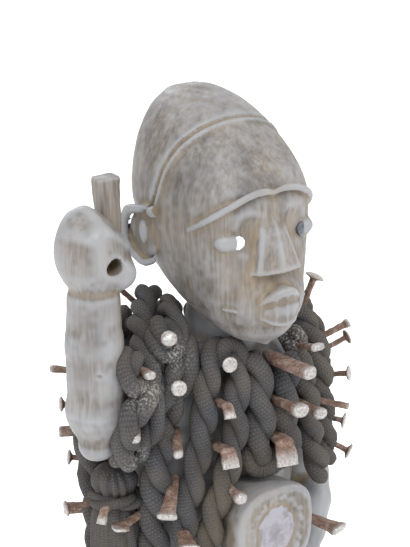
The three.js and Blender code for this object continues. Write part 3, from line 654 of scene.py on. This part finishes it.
def legField(p):
    q = np.column_stack([np.abs(p[:, 0]), p[:, 1], p[:, 2]])
    thigh = roll(q, [(30, -2, 226), (32, -3, 190), (33.5, -8, 150)], [27, 27, 20.5], 5)
    calf = roll(q, [(34, -8, 146), (35.5, 3, 108), (36, 4, 78), (36, 2, 56)],
                [19.5, 22.5, 16, 15.5], 5)
    knee = ball(q, (34, -22, 147), (13, 10, 12))
    seat = ball(q, (26, 24, 222), (27, 20, 27))
    leg = softUnion(softUnion(softUnion(thigh, calf, 6), knee, 6), seat, 9)
    foot = softUnion(ball(q, (36.5, -22, 46), (19, 38, 14)),
                     ball(q, (36, 4, 52), (16, 20, 22)), 9)
    foot = softUnion(foot, ball(q, (37, -36, 41), (20.5, 23, 10)), 6)
    foot = np.maximum(foot, 34 - q[:, 2])
    toes = np.minimum.reduce([np.abs(q[:, 0] - x) for x in (24.5, 32.5, 40, 47)])
    foot = foot + 1.4 * np.exp(-((toes / 1.3) ** 2)) * softStep((-44 - q[:, 1]) / 6)
    return softUnion(leg, foot, 6)


def baseField(p):
    n = 3.2
    z = p[:, 2]
    inset = np.interp(z, [0, 3, 34, 38], [2.0, 0.3, 0.5, 2.5])
    size = np.abs(p[:, 0] / (87.6 - inset)) ** n + np.abs((p[:, 1] + 4) / (63.6 - inset)) ** n
    side = (size ** (1 / n) - 1) * 62
    side = side + 0.5 * lumps(p, 16, 2.2)
    return np.maximum(softMeet(side, z - 37.6, 2.0), -z)


hangingArm = [(56, 2, 438, 20), (66, 0, 405, 17), (68, -2, 365, 16), (80, -5, 338, 16.5),
              (90, -10, 324, 15.5), (82, -26, 310, 13.5), (66, -42, 294, 11.5),
              (54, -50, 287, 10.5), (44, -53, 281, 7)]


def bodyField(p):
    d = softUnion(trunkField(p), neckField(p), 5)
    d = softUnion(d, ball(p, (0, -26, 256), (38, 26, 34)), 10)
    points = [(x, y, z) for x, y, z, _ in hangingArm]
    d = only(d, p, (72, -20, 360), 120, lambda d, p: softUnion(
        d, roll(p, points, [s[3] for s in hangingArm], 3), 4))
    d = only(d, p, (-80, -6, 440), 60, lambda d, p: softUnion(
        d, roll(p, [(-48, 2, 430), (-74, -2, 440), (-96, -12, 442)], [20, 19.5, 17]), 3))
    d = only(d, p, (48, -54, 283), 26, lambda d, p: d + 0.9 * np.exp(-((np.minimum.reduce(
        [np.abs((p[:, 2] - 283) + (p[:, 0] - 48) * 0.5 - v) for v in (-5, 0, 5)]) / 1.1) ** 2)))
    low = p[:, 2] < 262
    if low.any():
        d[low] = softUnion(d[low], legField(p[low]), 7)
    bottom = p[:, 2] < 62
    if bottom.any():
        d[bottom] = softUnion(d[bottom], baseField(p[bottom]), 2)
    return d


def chiselled(points, quads, amount):
    # shallow knife facets and old dents all over the carving
    away = normalsOf(points, quads)
    push = amount * (0.6 * lumps(points, 9.0, 3.1) + 0.4 * lumps(points, 4.2, 8.7))
    return points + away * push[:, None]


def spot(points, middle, reach):
    return np.exp(-(((points - np.array(middle)) / np.array(reach)) ** 2).sum(1))


def paintWood(points, quads):
    hollow = hollowness(points, quads, 6)
    wide = hollowness(points, quads, 26)
    cloud = lumps(points, 22, 1.7)
    mottle = lumps(points, 7, 6.1)
    dust = np.clip(hollow * 1.6, 0, 1) * 0.9 + np.clip(wide * 0.25, 0, 1) * 0.5
    dust = dust + 0.25 * np.clip(cloud + 0.2, 0, 1)
    # pale on raised edges and in random mottles: partly rubbed wear, partly a painted sheen on the
    # raised parts
    wearAndSheen = np.clip(-hollow * 3.2, 0, 1) * 0.8 + np.clip(-wide * 0.14, 0, 0.5)
    wearAndSheen = wearAndSheen + 0.2 * np.clip(mottle, 0, 1)
    # painted shade in the hollows of the carving, plus random dark brown patches
    dark = np.clip(hollow * 1.4 - 0.25, 0, 1) + 0.25 * np.clip(-cloud - 0.1, 0, 1)
    for middle, reach, much in (((-99, -36, 430), (10, 16, 60), 0.8),
                                ((-104, -40, 500), (9, 12, 34), 0.6),
                                ((-3, -80, 352), (34, 30, 10), 0.25),
                                ((-37, -70, 330), (6, 30, 40), 0.8),
                                ((-30, -72, 520), (26, 14, 26), 0.45),
                                ((0, -80, 525), (26, 12, 10), 0.7),
                                ((0, -74, 592), (18, 10, 20), 0.35),
                                ((-44, -26, 560), (10, 16, 26), 0.7)):
        dust = dust + much * spot(points, middle, reach) * (0.6 + 0.4 * mottle)
    # painted shade on the cap's and the jaw's side turned away from the light and in the ear's
    # groove, and a darker patch on the fist's outer face
    for middle, reach, much in (((-48, -28, 590), (16, 24, 16), 0.75),
                                ((-44, -46, 520), (16, 18, 24), 0.45),
                                ((-54, 8, 546), (12, 14, 20), 0.45),
                                ((-128, -48, 548), (12, 10, 18), 0.35)):
        dark = dark + much * spot(points, middle, reach) * (0.7 + 0.5 * mottle)
    # painted highlights on the lit tops of the belly box, the fist and the head, and down the
    # front of the raised forearm
    for middle, reach, much in (((-3, -72, 366), (34, 22, 5), 0.7),
                                ((-122, -34, 585), (16, 14, 12), 0.6),
                                ((0, -20, 636), (40, 40, 20), 0.35),
                                ((-122, -50, 500), (14, 8, 60), 0.25)):
        wearAndSheen = wearAndSheen + much * spot(points, middle, reach)
    # painted shade: the trunk behind and between the ropes is darkened, with less dust on it
    shadedUnderRopes = np.clip(1 - np.maximum(np.abs(points[:, 0]) - 62, 0) / 12, 0, 1) \
        * ((points[:, 2] > 300) & (points[:, 2] < 466)) * (points[:, 1] > -50)
    dark = np.clip(dark + 0.8 * shadedUnderRopes, 0, 1)
    return {"dust": np.clip(dust, 0, 1) * (1 - 0.5 * shadedUnderRopes), "wearAndSheen": np.clip(wearAndSheen, 0, 1),
            "dark": dark}


def buildFigure():
    shells = [(headShell, (-70, -98, 458), (70, 62, 650), 1.5),
              (raisedField, (-152, -62, 398), (-72, 4, 596), 1.55),
              (boxField, (-42, -92, 296), (36, -34, 374), 1.6),
              (bodyField, (-92, -72, -4), (112, 64, 512), 3.5)]
    allPoints, allQuads, tints, start = [], [], [], 0
    for field, low, high, cell in shells:
        points, quads = carve(field, low, high, cell)
        points = chiselled(points, quads, 0.35)
        tints.append(paintWood(points, quads))
        allPoints.append(points)
        allQuads.append(quads + start)
        start += len(points)
        print("  carved", field.__name__, len(quads), "quads")
    tint = {key: np.concatenate([t[key] for t in tints]) for key in tints[0]}
    figure = makeMesh("carvedFigure", np.vstack(allPoints), np.vstack(allQuads), wood, None, tint)
    fitOut(figure, "figure")
    print("figure carved")


buildFigure()

# Ropes
ropeLook = {"twist": 54, "strand": 0.57, "offset": 0.45, "step": 2.2, "sides": 14}
ropeLines = {  # node: radius, crust, route
    "chest_rope": (12.4, 0.25, [
        (-36, -33, 474), (-46, -38, 464), (-58, -41, 451), (-68, -43, 437), (-73, -42, 420),
        (-75, -41, 403), (-76, -39, 384), (-76, -36, 364), (-76, -34, 344), (-75, -32, 320),
        (-73, -32, 290), (-69, -33, 262), (-65, -35, 242)]),
    "arch_rope": (10.2, 0.2, [
        (-61, -50, 322), (-60, -51, 346), (-57, -53, 366), (-54, -55, 384), (-51, -56, 402),
        (-48, -57, 420), (-47, -56, 436), (-42, -53, 451), (-35, -49, 464), (-25, -47, 471),
        (-17, -50, 466), (-17, -57, 452), (-22, -61, 434), (-24, -63, 412), (-29, -64, 392),
        (-36, -65, 372), (-43, -63, 350), (-46, -60, 322), (-46, -57, 296), (-43, -55, 272),
        (-38, -55, 252)]),
    "belly_loop_rope": (12.3, 0.2, [
        (-3, -52, 462), (-1, -57, 449), (-1, -60, 433), (-2, -63, 414), (-5, -64, 396),
        (-6, -64, 383), (2, -65, 380), (13, -64, 380), (23, -62, 385), (24, -60, 395),
        (22, -59, 410), (23, -58, 426), (27, -56, 440), (30, -50, 453)]),
    "left_breast_rope": (10.4, 0.6, [
        (42, -38, 466), (46, -43, 456), (48, -47, 442), (49, -50, 429), (52, -51, 411),
        (54, -51, 394), (59, -49, 374), (67, -46, 355), (72, -42, 338)]),
    "left_outer_rope": (10.4, 0.8, [
        (58, -16, 477), (67, -22, 466), (73, -30, 452), (75, -35, 438), (78, -35, 420),
        (81, -34, 400), (84, -33, 378), (87, -32, 358), (89, -31, 342)]),
    "left_side_rope": (11.0, 1.0, [
        (62, 8, 480), (76, 2, 472), (87, -5, 458), (92, -9, 440), (94, -11, 420),
        (95, -12, 398), (96, -12, 374), (99, -12, 354), (104, -12, 341)]),
    "shoulder_loop_rope": (9.6, 0.35, [
        (-22, 42, 480), (-34, 34, 489), (-48, 17, 488), (-66, -4, 483), (-77, -24, 477),
        (-83, -38, 469), (-88, -47, 461), (-98, -52, 458), (-107, -53, 465), (-106, -49, 477),
        (-97, -44, 483)]),
    "collar_loop_rope": (9.2, 0.35, [
        (-30, 14, 486), (-41, -6, 489), (-49, -22, 487), (-56, -36, 482), (-66, -43, 475),
        (-74, -43, 479), (-74, -36, 489), (-66, -30, 492)]),
    "inner_side_rope": (9.4, 0.3, [
        (-46, -31, 472), (-60, -42, 464), (-73, -49, 454), (-84, -53, 441), (-89, -52, 426),
        (-92, -46, 412), (-94, -38, 402)]),
    "elbow_rope": (10.8, 0.3, [
        (-84, -50, 460), (-96, -55, 452), (-108, -57, 441), (-112, -54, 428),
        (-107, -46, 410), (-101, -32, 394)]),
    "left_back_rope": (12, 0.7, [
        (52, 36, 478), (72, 30, 462), (87, 22, 444), (94, 15, 424), (98, 15, 400),
        (98, 15, 370), (93, 16, 340), (87, 18, 312), (80, 20, 286), (76, 22, 262)]),
    "back_loop_left_rope": (12.5, 0.4, [
        (30, 34, 480), (50, 44, 462), (68, 43, 440), (78, 41, 414), (80, 41, 384),
        (76, 42, 350), (70, 42, 316), (64, 43, 286), (58, 45, 264), (45, 51, 250),
        (33, 56, 262), (34, 57, 288), (38, 56, 320), (43, 56, 356), (46, 56, 390),
        (42, 56, 420), (34, 53, 446), (20, 46, 464)]),
    "back_loop_right_rope": (12.5, 0.4, [
        (-8, 44, 472), (-6, 54, 452), (-2, 59, 424), (4, 60, 390), (6, 60, 350),
        (4, 59, 310), (-2, 59, 272), (-14, 58, 250), (-28, 56, 258), (-32, 56, 284),
        (-34, 57, 316), (-34, 58, 352), (-36, 58, 390), (-36, 57, 424), (-32, 51, 450),
        (-24, 42, 468)]),
    "right_back_rope": (12.5, 0.4, [
        (-44, 38, 474), (-60, 44, 456), (-70, 45, 432), (-75, 43, 402), (-72, 43, 366),
        (-69, 43, 330), (-67, 43, 296), (-65, 43, 264), (-63, 43, 240)]),
    "right_side_back_rope": (12, 0.4, [
        (-66, 26, 474), (-83, 28, 456), (-93, 25, 434), (-97, 21, 408), (-95, 20, 376),
        (-91, 20, 344), (-89, 19, 308), (-86, 18, 272), (-82, 17, 244)]),
}


def framesAlong(line):
    ahead = np.gradient(line, axis=0)
    ahead /= np.linalg.norm(ahead, axis=1)[:, None]
    side = np.zeros_like(line)
    start = np.cross(ahead[0], (0.3, 1, 0.2))
    side[0] = start / np.linalg.norm(start)
    for i in range(1, len(line)):
        s = side[i - 1] - ahead[i] * (side[i - 1] @ ahead[i])
        side[i] = s / np.linalg.norm(s)
    return ahead, side, np.cross(ahead, side)


def tubeSkin(line, side, other, reach, at, start):
    # rings along a line; reach is one radius for each point of each ring
    rings, sides = reach.shape
    angle = 2 * np.pi * np.arange(sides) / sides
    points = (line[:, None] + side[:, None] * (reach * np.cos(angle))[:, :, None]
              + other[:, None] * (reach * np.sin(angle))[:, :, None]).reshape(-1, 3)
    i, j = np.meshgrid(np.arange(rings - 1), np.arange(sides), indexing="ij")
    i, j = i.ravel(), j.ravel()
    k = (j + 1) % sides
    faces = np.stack([i * sides + j, i * sides + k, (i + 1) * sides + k, (i + 1) * sides + j], 1)
    u0, u1 = j / sides, (j + 1) / sides
    uvs = np.stack([np.stack([u0, at[i]], 1), np.stack([u1, at[i]], 1),
                    np.stack([u1, at[i + 1]], 1), np.stack([u0, at[i + 1]], 1)], 1)
    faceList = [tuple(f) for f in (faces + start).tolist()]
    ends = [tuple(start + n for n in reversed(range(sides))),
            tuple(start + (rings - 1) * sides + n for n in range(sides))]
    endUvs = [(n / sides, at[0]) for n in range(sides)] + [(n / sides, at[-1])
                                                           for n in range(sides)]
    return points, faceList + ends, np.vstack([uvs.reshape(-1, 2), endUvs])


def strandPair(route, radius, crust, seed):
    line, at = evenly(throughKnots(route, 220), ropeLook["step"])
    ahead, side, other = framesAlong(line)
    total = at[-1]
    chance = np.random.default_rng(seed)
    points, faces, uvs = [], [], []
    wander = np.interp(at, np.linspace(0, total, 8), chance.uniform(-0.5, 0.5, 8))
    ends = np.minimum(at, total - at)
    closing = np.sqrt(np.clip(1 - np.clip(1 - ends / 6, 0, 1) ** 2, 0.04, 1))
    for strand in (0, 1):
        phase = -2 * np.pi * at / ropeLook["twist"] + np.pi * strand + wander + seed
        offset = radius * ropeLook["offset"]
        out = side * np.cos(phase)[:, None] + other * np.sin(phase)[:, None]
        middle = line + out * offset
        along = np.gradient(middle, axis=0)
        along /= np.linalg.norm(along, axis=1)[:, None]
        out = out - along * (out * along).sum(1)[:, None]
        out /= np.linalg.norm(out, axis=1)[:, None]
        cross = np.cross(along, out)
        uneven = 1 + 0.05 * np.interp(at, np.linspace(0, total, 14), chance.uniform(-1, 1, 14))
        sides = ropeLook["sides"]
        angle = 2 * np.pi * np.arange(sides) / sides
        shape = 1 + 0.06 * np.abs(np.sin(angle)) - 0.05 * np.cos(angle)
        reach = (radius * ropeLook["strand"] * uneven * closing)[:, None] * shape[None]
        skin, quads, uv = tubeSkin(middle, out, cross, reach, at * 1.18,
                                   sum(len(q) for q in points))
        centre = np.repeat(middle, sides, 0)
        away = skin - centre
        away /= np.linalg.norm(away, axis=1)[:, None] + 1e-9
        push = 0.35 * lumps(skin, 6.5, 2.0 + strand) + crust * 0.9 * lumps(skin, 3.4, 4.0)
        fold = crust * 0.8 * np.maximum(lumps(skin, 9.0, 7.0), 0)
        points.append(skin + away * (push - fold)[:, None])
        faces += quads
        uvs.append(uv)
    return np.vstack(points), faces, np.vstack(uvs)


speckSpots = [((-98, -54, 456), (13, 14, 9)), ((-66, -46, 473), (12, 12, 8)),
              ((-102, -44, 404), (10, 14, 10)), ((42, -40, 462), (12, 14, 9))]


def buildRopes():
    for seed, (name, (radius, crust, route)) in enumerate(ropeLines.items(), 1):
        points, faces, uvs = strandPair(route, radius, crust, seed)
        dust = 0.22 + 0.28 * lumps(points, 16, 9.0) + 0.25 * crust
        dust = dust + 0.8 * spot(points, (-40, -62, 340), (16, 20, 40))
        dust = dust + 0.4 * spot(points, (2, -64, 382), (30, 20, 10))
        speck = sum(spot(points, middle, reach) for middle, reach in speckSpots)
        piece = makeMesh(name.replace("_rope", "Rope"), points, faces, cloth, uvs,
                         {"dust": np.clip(dust, 0, 1), "speck": np.clip(speck, 0, 1)})
        fitOut(piece, name)
    print("ropes twisted:", len(ropeLines))


buildRopes()

# Cloth bundle under the raised elbow
bundleLook = {"rows": [(385, 11, -99, -17), (382, 15, -99, -17), (374, 17.5, -98, -16),
                       (366, 14.5, -97, -15), (358, 13.5, -97, -15), (350, 16.5, -97, -14),
                       (335, 18, -97, -14), (315, 18.5, -96, -13), (290, 17.5, -94, -12),
                       (270, 14, -90, -12), (262, 9, -89, -12)],
              "band": (361, 15.5, 4.4), "folds": 9}


def buildBundle():
    rows = np.array(bundleLook["rows"], float)[::-1]
    heights = np.linspace(262, 385, 74)
    around = 96
    radius, x, y = (rowProfile(heights, rows, n) for n in (1, 2, 3))
    angle = 2 * np.pi * np.arange(around) / around
    line = np.stack([x, y, heights], 1)
    side = np.tile((1.0, 0, 0), (len(line), 1))
    other = np.tile((0, 1.0, 0), (len(line), 1))
    ring = np.stack([np.tile(np.cos(angle), (len(line), 1)),
                     np.tile(np.sin(angle), (len(line), 1)),
                     np.tile(heights[:, None] / 60, (1, around))], -1).reshape(-1, 3)
    drift = 1.3 * lumps(ring, 0.9, 3.0).reshape(len(line), around)
    fold = np.abs(np.sin(angle[None] * bundleLook["folds"] / 2 + drift * 1.6
                         + heights[:, None] / 45))
    deep = np.where(heights > 363, 0.24, 0.17)[:, None]
    reach = radius[:, None] * (1 - deep + deep * fold**0.6)
    points, faces, uvs = tubeSkin(line, side, other, reach, heights, 0)
    uvs[:, 0] *= 2.4
    z, bandRadius, strand = bundleLook["band"]
    loop = [(-97 + bandRadius * math.cos(t), -15 + bandRadius * math.sin(t),
             z + 1.5 * math.sin(2 * t)) for t in np.linspace(0, 2 * math.pi, 15)]
    band, bandFaces, bandUvs = strandPair(loop, strand * 1.35, 0.5, 40)
    bandFaces = [tuple(n + len(points) for n in f) for f in bandFaces]
    points = np.vstack([points, band])
    dust = 0.35 + 0.3 * lumps(points, 10, 2.0)
    piece = makeMesh("clothBundle", points, faces + bandFaces, cloth, np.vstack([uvs, bandUvs]),
                     {"dust": np.clip(dust, 0, 1), "speck": np.zeros(len(points))})
    fitOut(piece, "cloth_bundle")
    print("cloth bundle tied")


buildBundle()

# Nails
nailLook = {"sides": 12, "depth": 10, "rough": 0.35}
nailLines = {  # node: where it leaves the ropes, its tip, width, thickness, kind of end
    "nail_01_behind_neck": ((-42, 35, 482), (-62, 34, 502), 4, 4, "disc"),
    "nail_02_collar": ((-60, -31, 474), (-76, -55, 491), 4, 4, "disc"),
    "nail_03_shoulder_loop": ((-91, -34, 466), (-96, -62, 470), 7, 5, "plain"),
    "nail_04_arch": ((-27, -50, 460), (-31, -66, 464), 4, 4, "disc"),
    "nail_05_chest": ((-62, -46, 452), (-77, -68, 458), 4, 4, "disc"),
    "nail_06_breast": ((-37, -60, 435), (-43, -82, 440), 6, 4, "bent"),
    "nail_07_elbow": ((-92, -36, 430), (-112, -66, 428), 6, 5, "plain"),
    "nail_08_chest_low": ((-67, -50, 413), (-82, -74, 411), 6, 5, "plain"),
    "nail_09_flat_bent": ((-39, -62, 402), (-45, -86, 408), 9, 4, "bent"),
    "nail_10_blade": ((-68, -48, 374), (-90, -71, 364), 7, 4, "blade"),
    "nail_11_box_side": ((-34, -64, 372), (-39, -92, 371), 5, 5, "blob"),
    "nail_12_leaf": ((-84, -30, 349), (-113, -40, 348), 6, 4, "leaf"),
    "nail_13_clamp": ((-100, -20, 362), (-121, -34, 360), 5, 4, "bent"),
    "nail_14_long_bar": ((14, -60, 456), (14, -101, 458), 9, 8, "plain"),
    "nail_15_under_bar": ((14, -62, 424), (10, -98, 429), 7, 6, "blob"),
    "nail_16_wide_clamp": ((12, -62, 398), (6, -86, 400), 12, 4, "bent"),
    "nail_17_flared": ((44, -50, 456), (42, -74, 463), 5, 4, "flare"),
    "nail_18_knob": ((42, -58, 413), (38, -86, 415), 6, 5, "blob"),
    "nail_19_shoulder_top": ((78, -14, 474), (86, -17, 494), 5, 5, "disc"),
    "nail_20_right_edge": ((91, -24, 446), (108, -32, 455), 4, 4, "flare"),
    "nail_21_right_edge": ((92, -26, 436), (109, -31, 443), 4, 4, "disc"),
    "nail_22_right_edge": ((93, -28, 414), (103, -41, 417), 4, 4, "disc"),
    "nail_23_right_edge": ((70, -46, 404), (86, -60, 400), 4, 4, "plain"),
    "nail_24_right_edge": ((92, -26, 378), (102, -38, 376), 5, 4, "disc"),
    "nail_25_right_edge": ((93, -26, 358), (105, -42, 350), 5, 4, "disc"),
    "nail_26_left_edge": ((-84, 37, 437), (-109, 52, 441), 5, 4, "plain"),
    "nail_27_left_edge": ((-87, 35, 413), (-106, 45, 414), 4, 4, "disc"),
    "nail_28_left_edge": ((-86, 35, 392), (-106, 47, 391), 7, 6, "plain"),
    "nail_29_left_edge": ((-84, 34, 368), (-101, 44, 370), 4, 4, "disc"),
    "nail_30_left_edge": ((-101, 4, 350), (-124, 12, 347), 4, 4, "disc"),
    "nail_31_left_edge": ((-80, 33, 327), (-104, 47, 327), 7, 7, "plain"),
    "nail_32_left_edge": ((-99, 3, 305), (-119, 8, 305), 5, 5, "blob"),
    "nail_33_under_arm": ((50, -53, 316), (60, -84, 314), 9, 4, "blade"),
    "nail_34_beside_box": ((-63, -52, 338), (-75, -76, 336), 8, 5, "blade"),
    "nail_35_back": ((57, 52, 430), (66, 70, 434), 4, 4, "disc"),
    "nail_36_back": ((22, 60, 412), (25, 80, 415), 6, 5, "plain"),
    "nail_37_back": ((-18, 60, 360), (-21, 80, 362), 5, 4, "disc"),
}
nailEnds = {  # share of the way out, width, thickness
    "plain": [(0.3, 0.95, 1), (0.7, 1.02, 1), (0.94, 1.08, 1.05), (1, 0.85, 0.85)],
    "disc": [(0.4, 0.85, 0.9), (0.8, 0.9, 0.9), (0.86, 1.6, 1.6), (0.90, 2.55, 2.5),
             (0.96, 2.5, 2.45), (1, 1.7, 1.7)],
    "blob": [(0.4, 0.9, 1), (0.62, 1.0, 1), (0.74, 1.6, 1.5), (0.9, 1.75, 1.6), (1, 1.0, 1)],
    "flare": [(0.4, 0.9, 1), (0.75, 1.1, 1), (0.9, 1.7, 1.3), (1, 2.1, 1.2)],
    "blade": [(0.3, 1.05, 1), (0.5, 1.2, 1), (0.8, 1.4, 1.1), (0.97, 1.9, 1.2), (1, 1.7, 1)],
    "leaf": [(0.4, 0.9, 1), (0.62, 1.0, 0.9), (0.8, 2.3, 0.7), (0.9, 1.9, 0.6), (1, 0.5, 0.5)],
    "bent": [(0.4, 0.95, 1), (0.75, 1.05, 1), (0.9, 1.2, 1), (1, 1.25, 1.05)],
}


def buildNail(number, name, out, tip, width, thickness, kind):
    out, tip = np.array(out, float), np.array(tip, float)
    ahead = (tip - out) / np.linalg.norm(tip - out)
    points, sizes = [out - ahead * nailLook["depth"], out], [(0.9, 0.9), (1, 1)]
    for share, wide, thick in nailEnds[kind]:
        spotOn = out + (tip - out) * share
        if kind == "bent" and share > 0.8:
            spotOn = spotOn + np.array((0, 0, -width * 0.7 * (1 if share < 1 else 2)))
        points.append(spotOn)
        sizes.append((wide, thick))
    shares = np.linspace(0, len(points) - 1, 4 * len(points))
    line = np.stack([np.interp(shares, range(len(points)), np.array(points)[:, n])
                     for n in range(3)], 1)
    wide = np.interp(shares, range(len(sizes)), [s[0] for s in sizes]) * width * 0.56
    thick = np.interp(shares, range(len(sizes)), [s[1] for s in sizes]) * thickness * 0.56
    along, _, _ = framesAlong(line)
    side = np.cross(along, (0, 0, 1.0))
    side /= np.linalg.norm(side, axis=1)[:, None]
    other = np.cross(along, side)
    sides = nailLook["sides"]
    angle = 2 * np.pi * np.arange(sides) / sides
    power = 2.2 if kind in ("disc", "blob") else 4.5
    square = (np.abs(np.cos(angle)) ** power + np.abs(np.sin(angle)) ** power) ** (-1 / power)
    reach = np.ones((len(line), sides)) * square
    skin = (line[:, None] + side[:, None] * (reach * wide[:, None] * np.cos(angle))[:, :, None]
            + other[:, None] * (reach * thick[:, None] * np.sin(angle))[:, :, None])
    skin = skin.reshape(-1, 3)
    _, faces, uvs = tubeSkin(line, side, other, reach, shares, 0)
    centre = np.repeat(line, sides, 0)
    away = skin - centre
    away /= np.linalg.norm(away, axis=1)[:, None] + 1e-9
    skin = skin + away * (nailLook["rough"] * lumps(skin, 2.6, number * 1.7))[:, None]
    wearAndSheen = np.clip((np.repeat(shares, sides) / (len(points) - 1) - 0.72) / 0.2, 0, 1)
    piece = makeMesh(name, skin, faces, iron, uvs, {"wearAndSheen": wearAndSheen})
    piece.name = name.replace("nail_", "ironNail_")
    fitOut(piece, name)


for number, (name, (out, tip, width, thickness, kind)) in enumerate(nailLines.items()):
    buildNail(number, name, out, tip, width, thickness, kind)
print("nails driven:", len(nailLines))

# Peg, eyes and mirror
pegLook = {"bottom": (-98, -17, 552), "top": (-98, -12, 600.5),
           "halfWidths": (7.4, 8.0, 9.2), "halfDepths": (5.2, 5.6, 6.2)}


def buildPeg():
    a, b = np.array(pegLook["bottom"], float), np.array(pegLook["top"], float)
    t = np.concatenate([[0, 0.02], np.linspace(0.06, 0.94, 18), [0.975, 1]])
    line = a + (b - a) * t[:, None]
    closing = np.interp(t, [0, 0.03, 0.96, 1], [0.85, 1, 1, 0.9])
    sides = 32
    angle = 2 * np.pi * (np.arange(sides) + 0.5) / sides
    square = (np.abs(np.cos(angle)) ** 7 + np.abs(np.sin(angle)) ** 7) ** (-1 / 7)
    halfWide = np.interp(t, [0, 0.5, 1], pegLook["halfWidths"]) * closing
    halfDeep = np.interp(t, [0, 0.5, 1], pegLook["halfDepths"]) * closing
    skin = (line[:, None] + np.array((1.0, 0, 0)) * (halfWide[:, None] * square
            * np.cos(angle))[:, :, None] + np.array((0, 1.0, 0)) * (halfDeep[:, None] * square
            * np.sin(angle))[:, :, None]).reshape(-1, 3)
    side = np.tile((1.0, 0, 0), (len(t), 1))
    other = np.tile((0, 1.0, 0), (len(t), 1))
    _, faces, uvs = tubeSkin(line, side, other, np.ones((len(t), sides)), t, 0)
    skin = skin + np.stack([0.4 * lumps(skin, 6, n * 3.3) for n in range(3)], 1)
    # painted light on the peg: its square corners and top face lighter, partly wear and partly a
    # painted highlight; its lower part darker, painted shade where it comes out of the fist; the
    # dust towards the bottom is dirt
    edge = np.clip((np.tile(square, len(t)) - 1.2) * 3, 0, 1)
    height = np.repeat(t, sides)
    tints = {"dust": 0.45 * np.clip(1 - height * 1.2, 0, 1) + 0.15,
             "wearAndSheen": np.clip(0.6 * edge + 0.5 * (height > 0.95), 0, 1),
             "dark": 0.5 * np.clip(0.4 - height, 0, 1)}
    fitOut(makeMesh("fistPeg", skin, faces, wood, uvs, tints), "fist_peg")


def discSkin(middle, away, halves, depth, dome, ragged, seed):
    # a domed disc with a chipped edge
    middle, away = np.array(middle, float), np.array(away, float)
    away /= np.linalg.norm(away)
    side = np.cross(away, (0, 0, 1.0))
    side /= np.linalg.norm(side)
    up = np.cross(side, away)
    sides, rings = 40, 9
    chance = np.random.default_rng(seed)
    edge = 1 - ragged * chance.random(sides)
    angle = 2 * np.pi * np.arange(sides) / sides
    shares = np.concatenate([[1.0, 1.0], np.linspace(0.96, 0.08, rings)])
    heights = np.concatenate([[-depth, -0.35], dome * (1 - shares[2:] ** 2)])
    points = []
    for share, height in zip(shares, heights):
        shape = share * (1 + (edge - 1) * share**3)
        points.append(middle + away * height + side * (halves[0] * shape * np.cos(angle))[:, None]
                      + up * (halves[1] * shape * np.sin(angle))[:, None])
    points = np.vstack(points)
    faces = []
    for r in range(len(shares) - 1):
        for s in range(sides):
            n = (s + 1) % sides
            faces.append((r * sides + s, r * sides + n, (r + 1) * sides + n, (r + 1) * sides + s))
    faces.append(tuple(reversed(range(sides))))
    faces.append(tuple((len(shares) - 1) * sides + s for s in range(sides)))
    return points, faces


def buildInlays():
    for sign, node, slot, look in ((-1, "right_eye_glass", "pale_eye_glass", paleGlass),
                                   (1, "left_eye_glass", "dark_eye_glass", darkGlass)):
        x, y, z = face["eye"]
        away = (sign * 0.3, -1, 0.05)
        points, faces = discSkin((sign * x, y - 1.2, z), away, (5.2, 5.4), 4, 0.9, 0.12, 5 + sign)
        piece = makeMesh(node.replace("_", ""), points, faces, look)
        fitOut(piece, node)
    x, z = boxLook["mirror"]
    points, faces = discSkin((x, -86.2, z), (0, -1, 0), (18.6, 21.6), 2, 0.7, 0.05, 9)
    fitOut(makeMesh("bellyMirror", points, faces, mirrorGlass), "belly_mirror")
    print("peg, eyes and mirror set")


buildPeg()
buildInlays()

# Studio
studio = {"floor": 14, "floorColour": 0.93, "floorGlow": 0.35, "sky": 0.75,
          "lamps": [((-0.6, -1.2, 2.3), 1.6, 26), ((1.6, -1.0, 1.4), 1.4, 14),
                    ((-1.8, -0.4, 1.2), 1.4, 10), ((0.2, 1.6, 1.8), 1.4, 12)]}


def buildStudio():
    half = studio["floor"] / 2
    floorMesh = bpy.data.meshes.new("paleFloor")
    floorMesh.from_pydata([(-half, -half, 0), (half, -half, 0), (half, half, 0), (-half, half, 0)],
                          [], [(0, 1, 2, 3)])
    f = Finish("paleFloorPaint", Roughness=0.9)
    f.shader.inputs["Base Color"].default_value = (studio["floorColour"],) * 3 + (1,)
    f.shader.inputs["Emission Color"].default_value = (1, 1, 1, 1)
    f.shader.inputs["Emission Strength"].default_value = studio["floorGlow"]
    floorMesh.materials.append(f.material)
    floor = bpy.data.objects.new("paleFloor", floorMesh)
    scene.collection.objects.link(floor)
    aim = Vector((0, 0, 0.45))
    for number, (place, size, power) in enumerate(studio["lamps"]):
        data = bpy.data.lights.new(f"softLamp{number}", "AREA")
        data.shape = "DISK"
        data.size = size
        data.energy = power
        lamp = bpy.data.objects.new(f"softLamp{number}", data)
        lamp.location = place
        lamp.rotation_euler = (Vector(place) - aim).to_track_quat("Z", "Y").to_euler()
        scene.collection.objects.link(lamp)
    world = bpy.data.worlds.new("studioLight")
    world.use_nodes = True
    background = world.node_tree.nodes["Background"]
    background.inputs["Color"].default_value = (1, 1, 1, 1)
    background.inputs["Strength"].default_value = studio["sky"]
    scene.world = world
    scene.view_settings.view_transform = "Standard"


buildStudio()
print("studio lit")
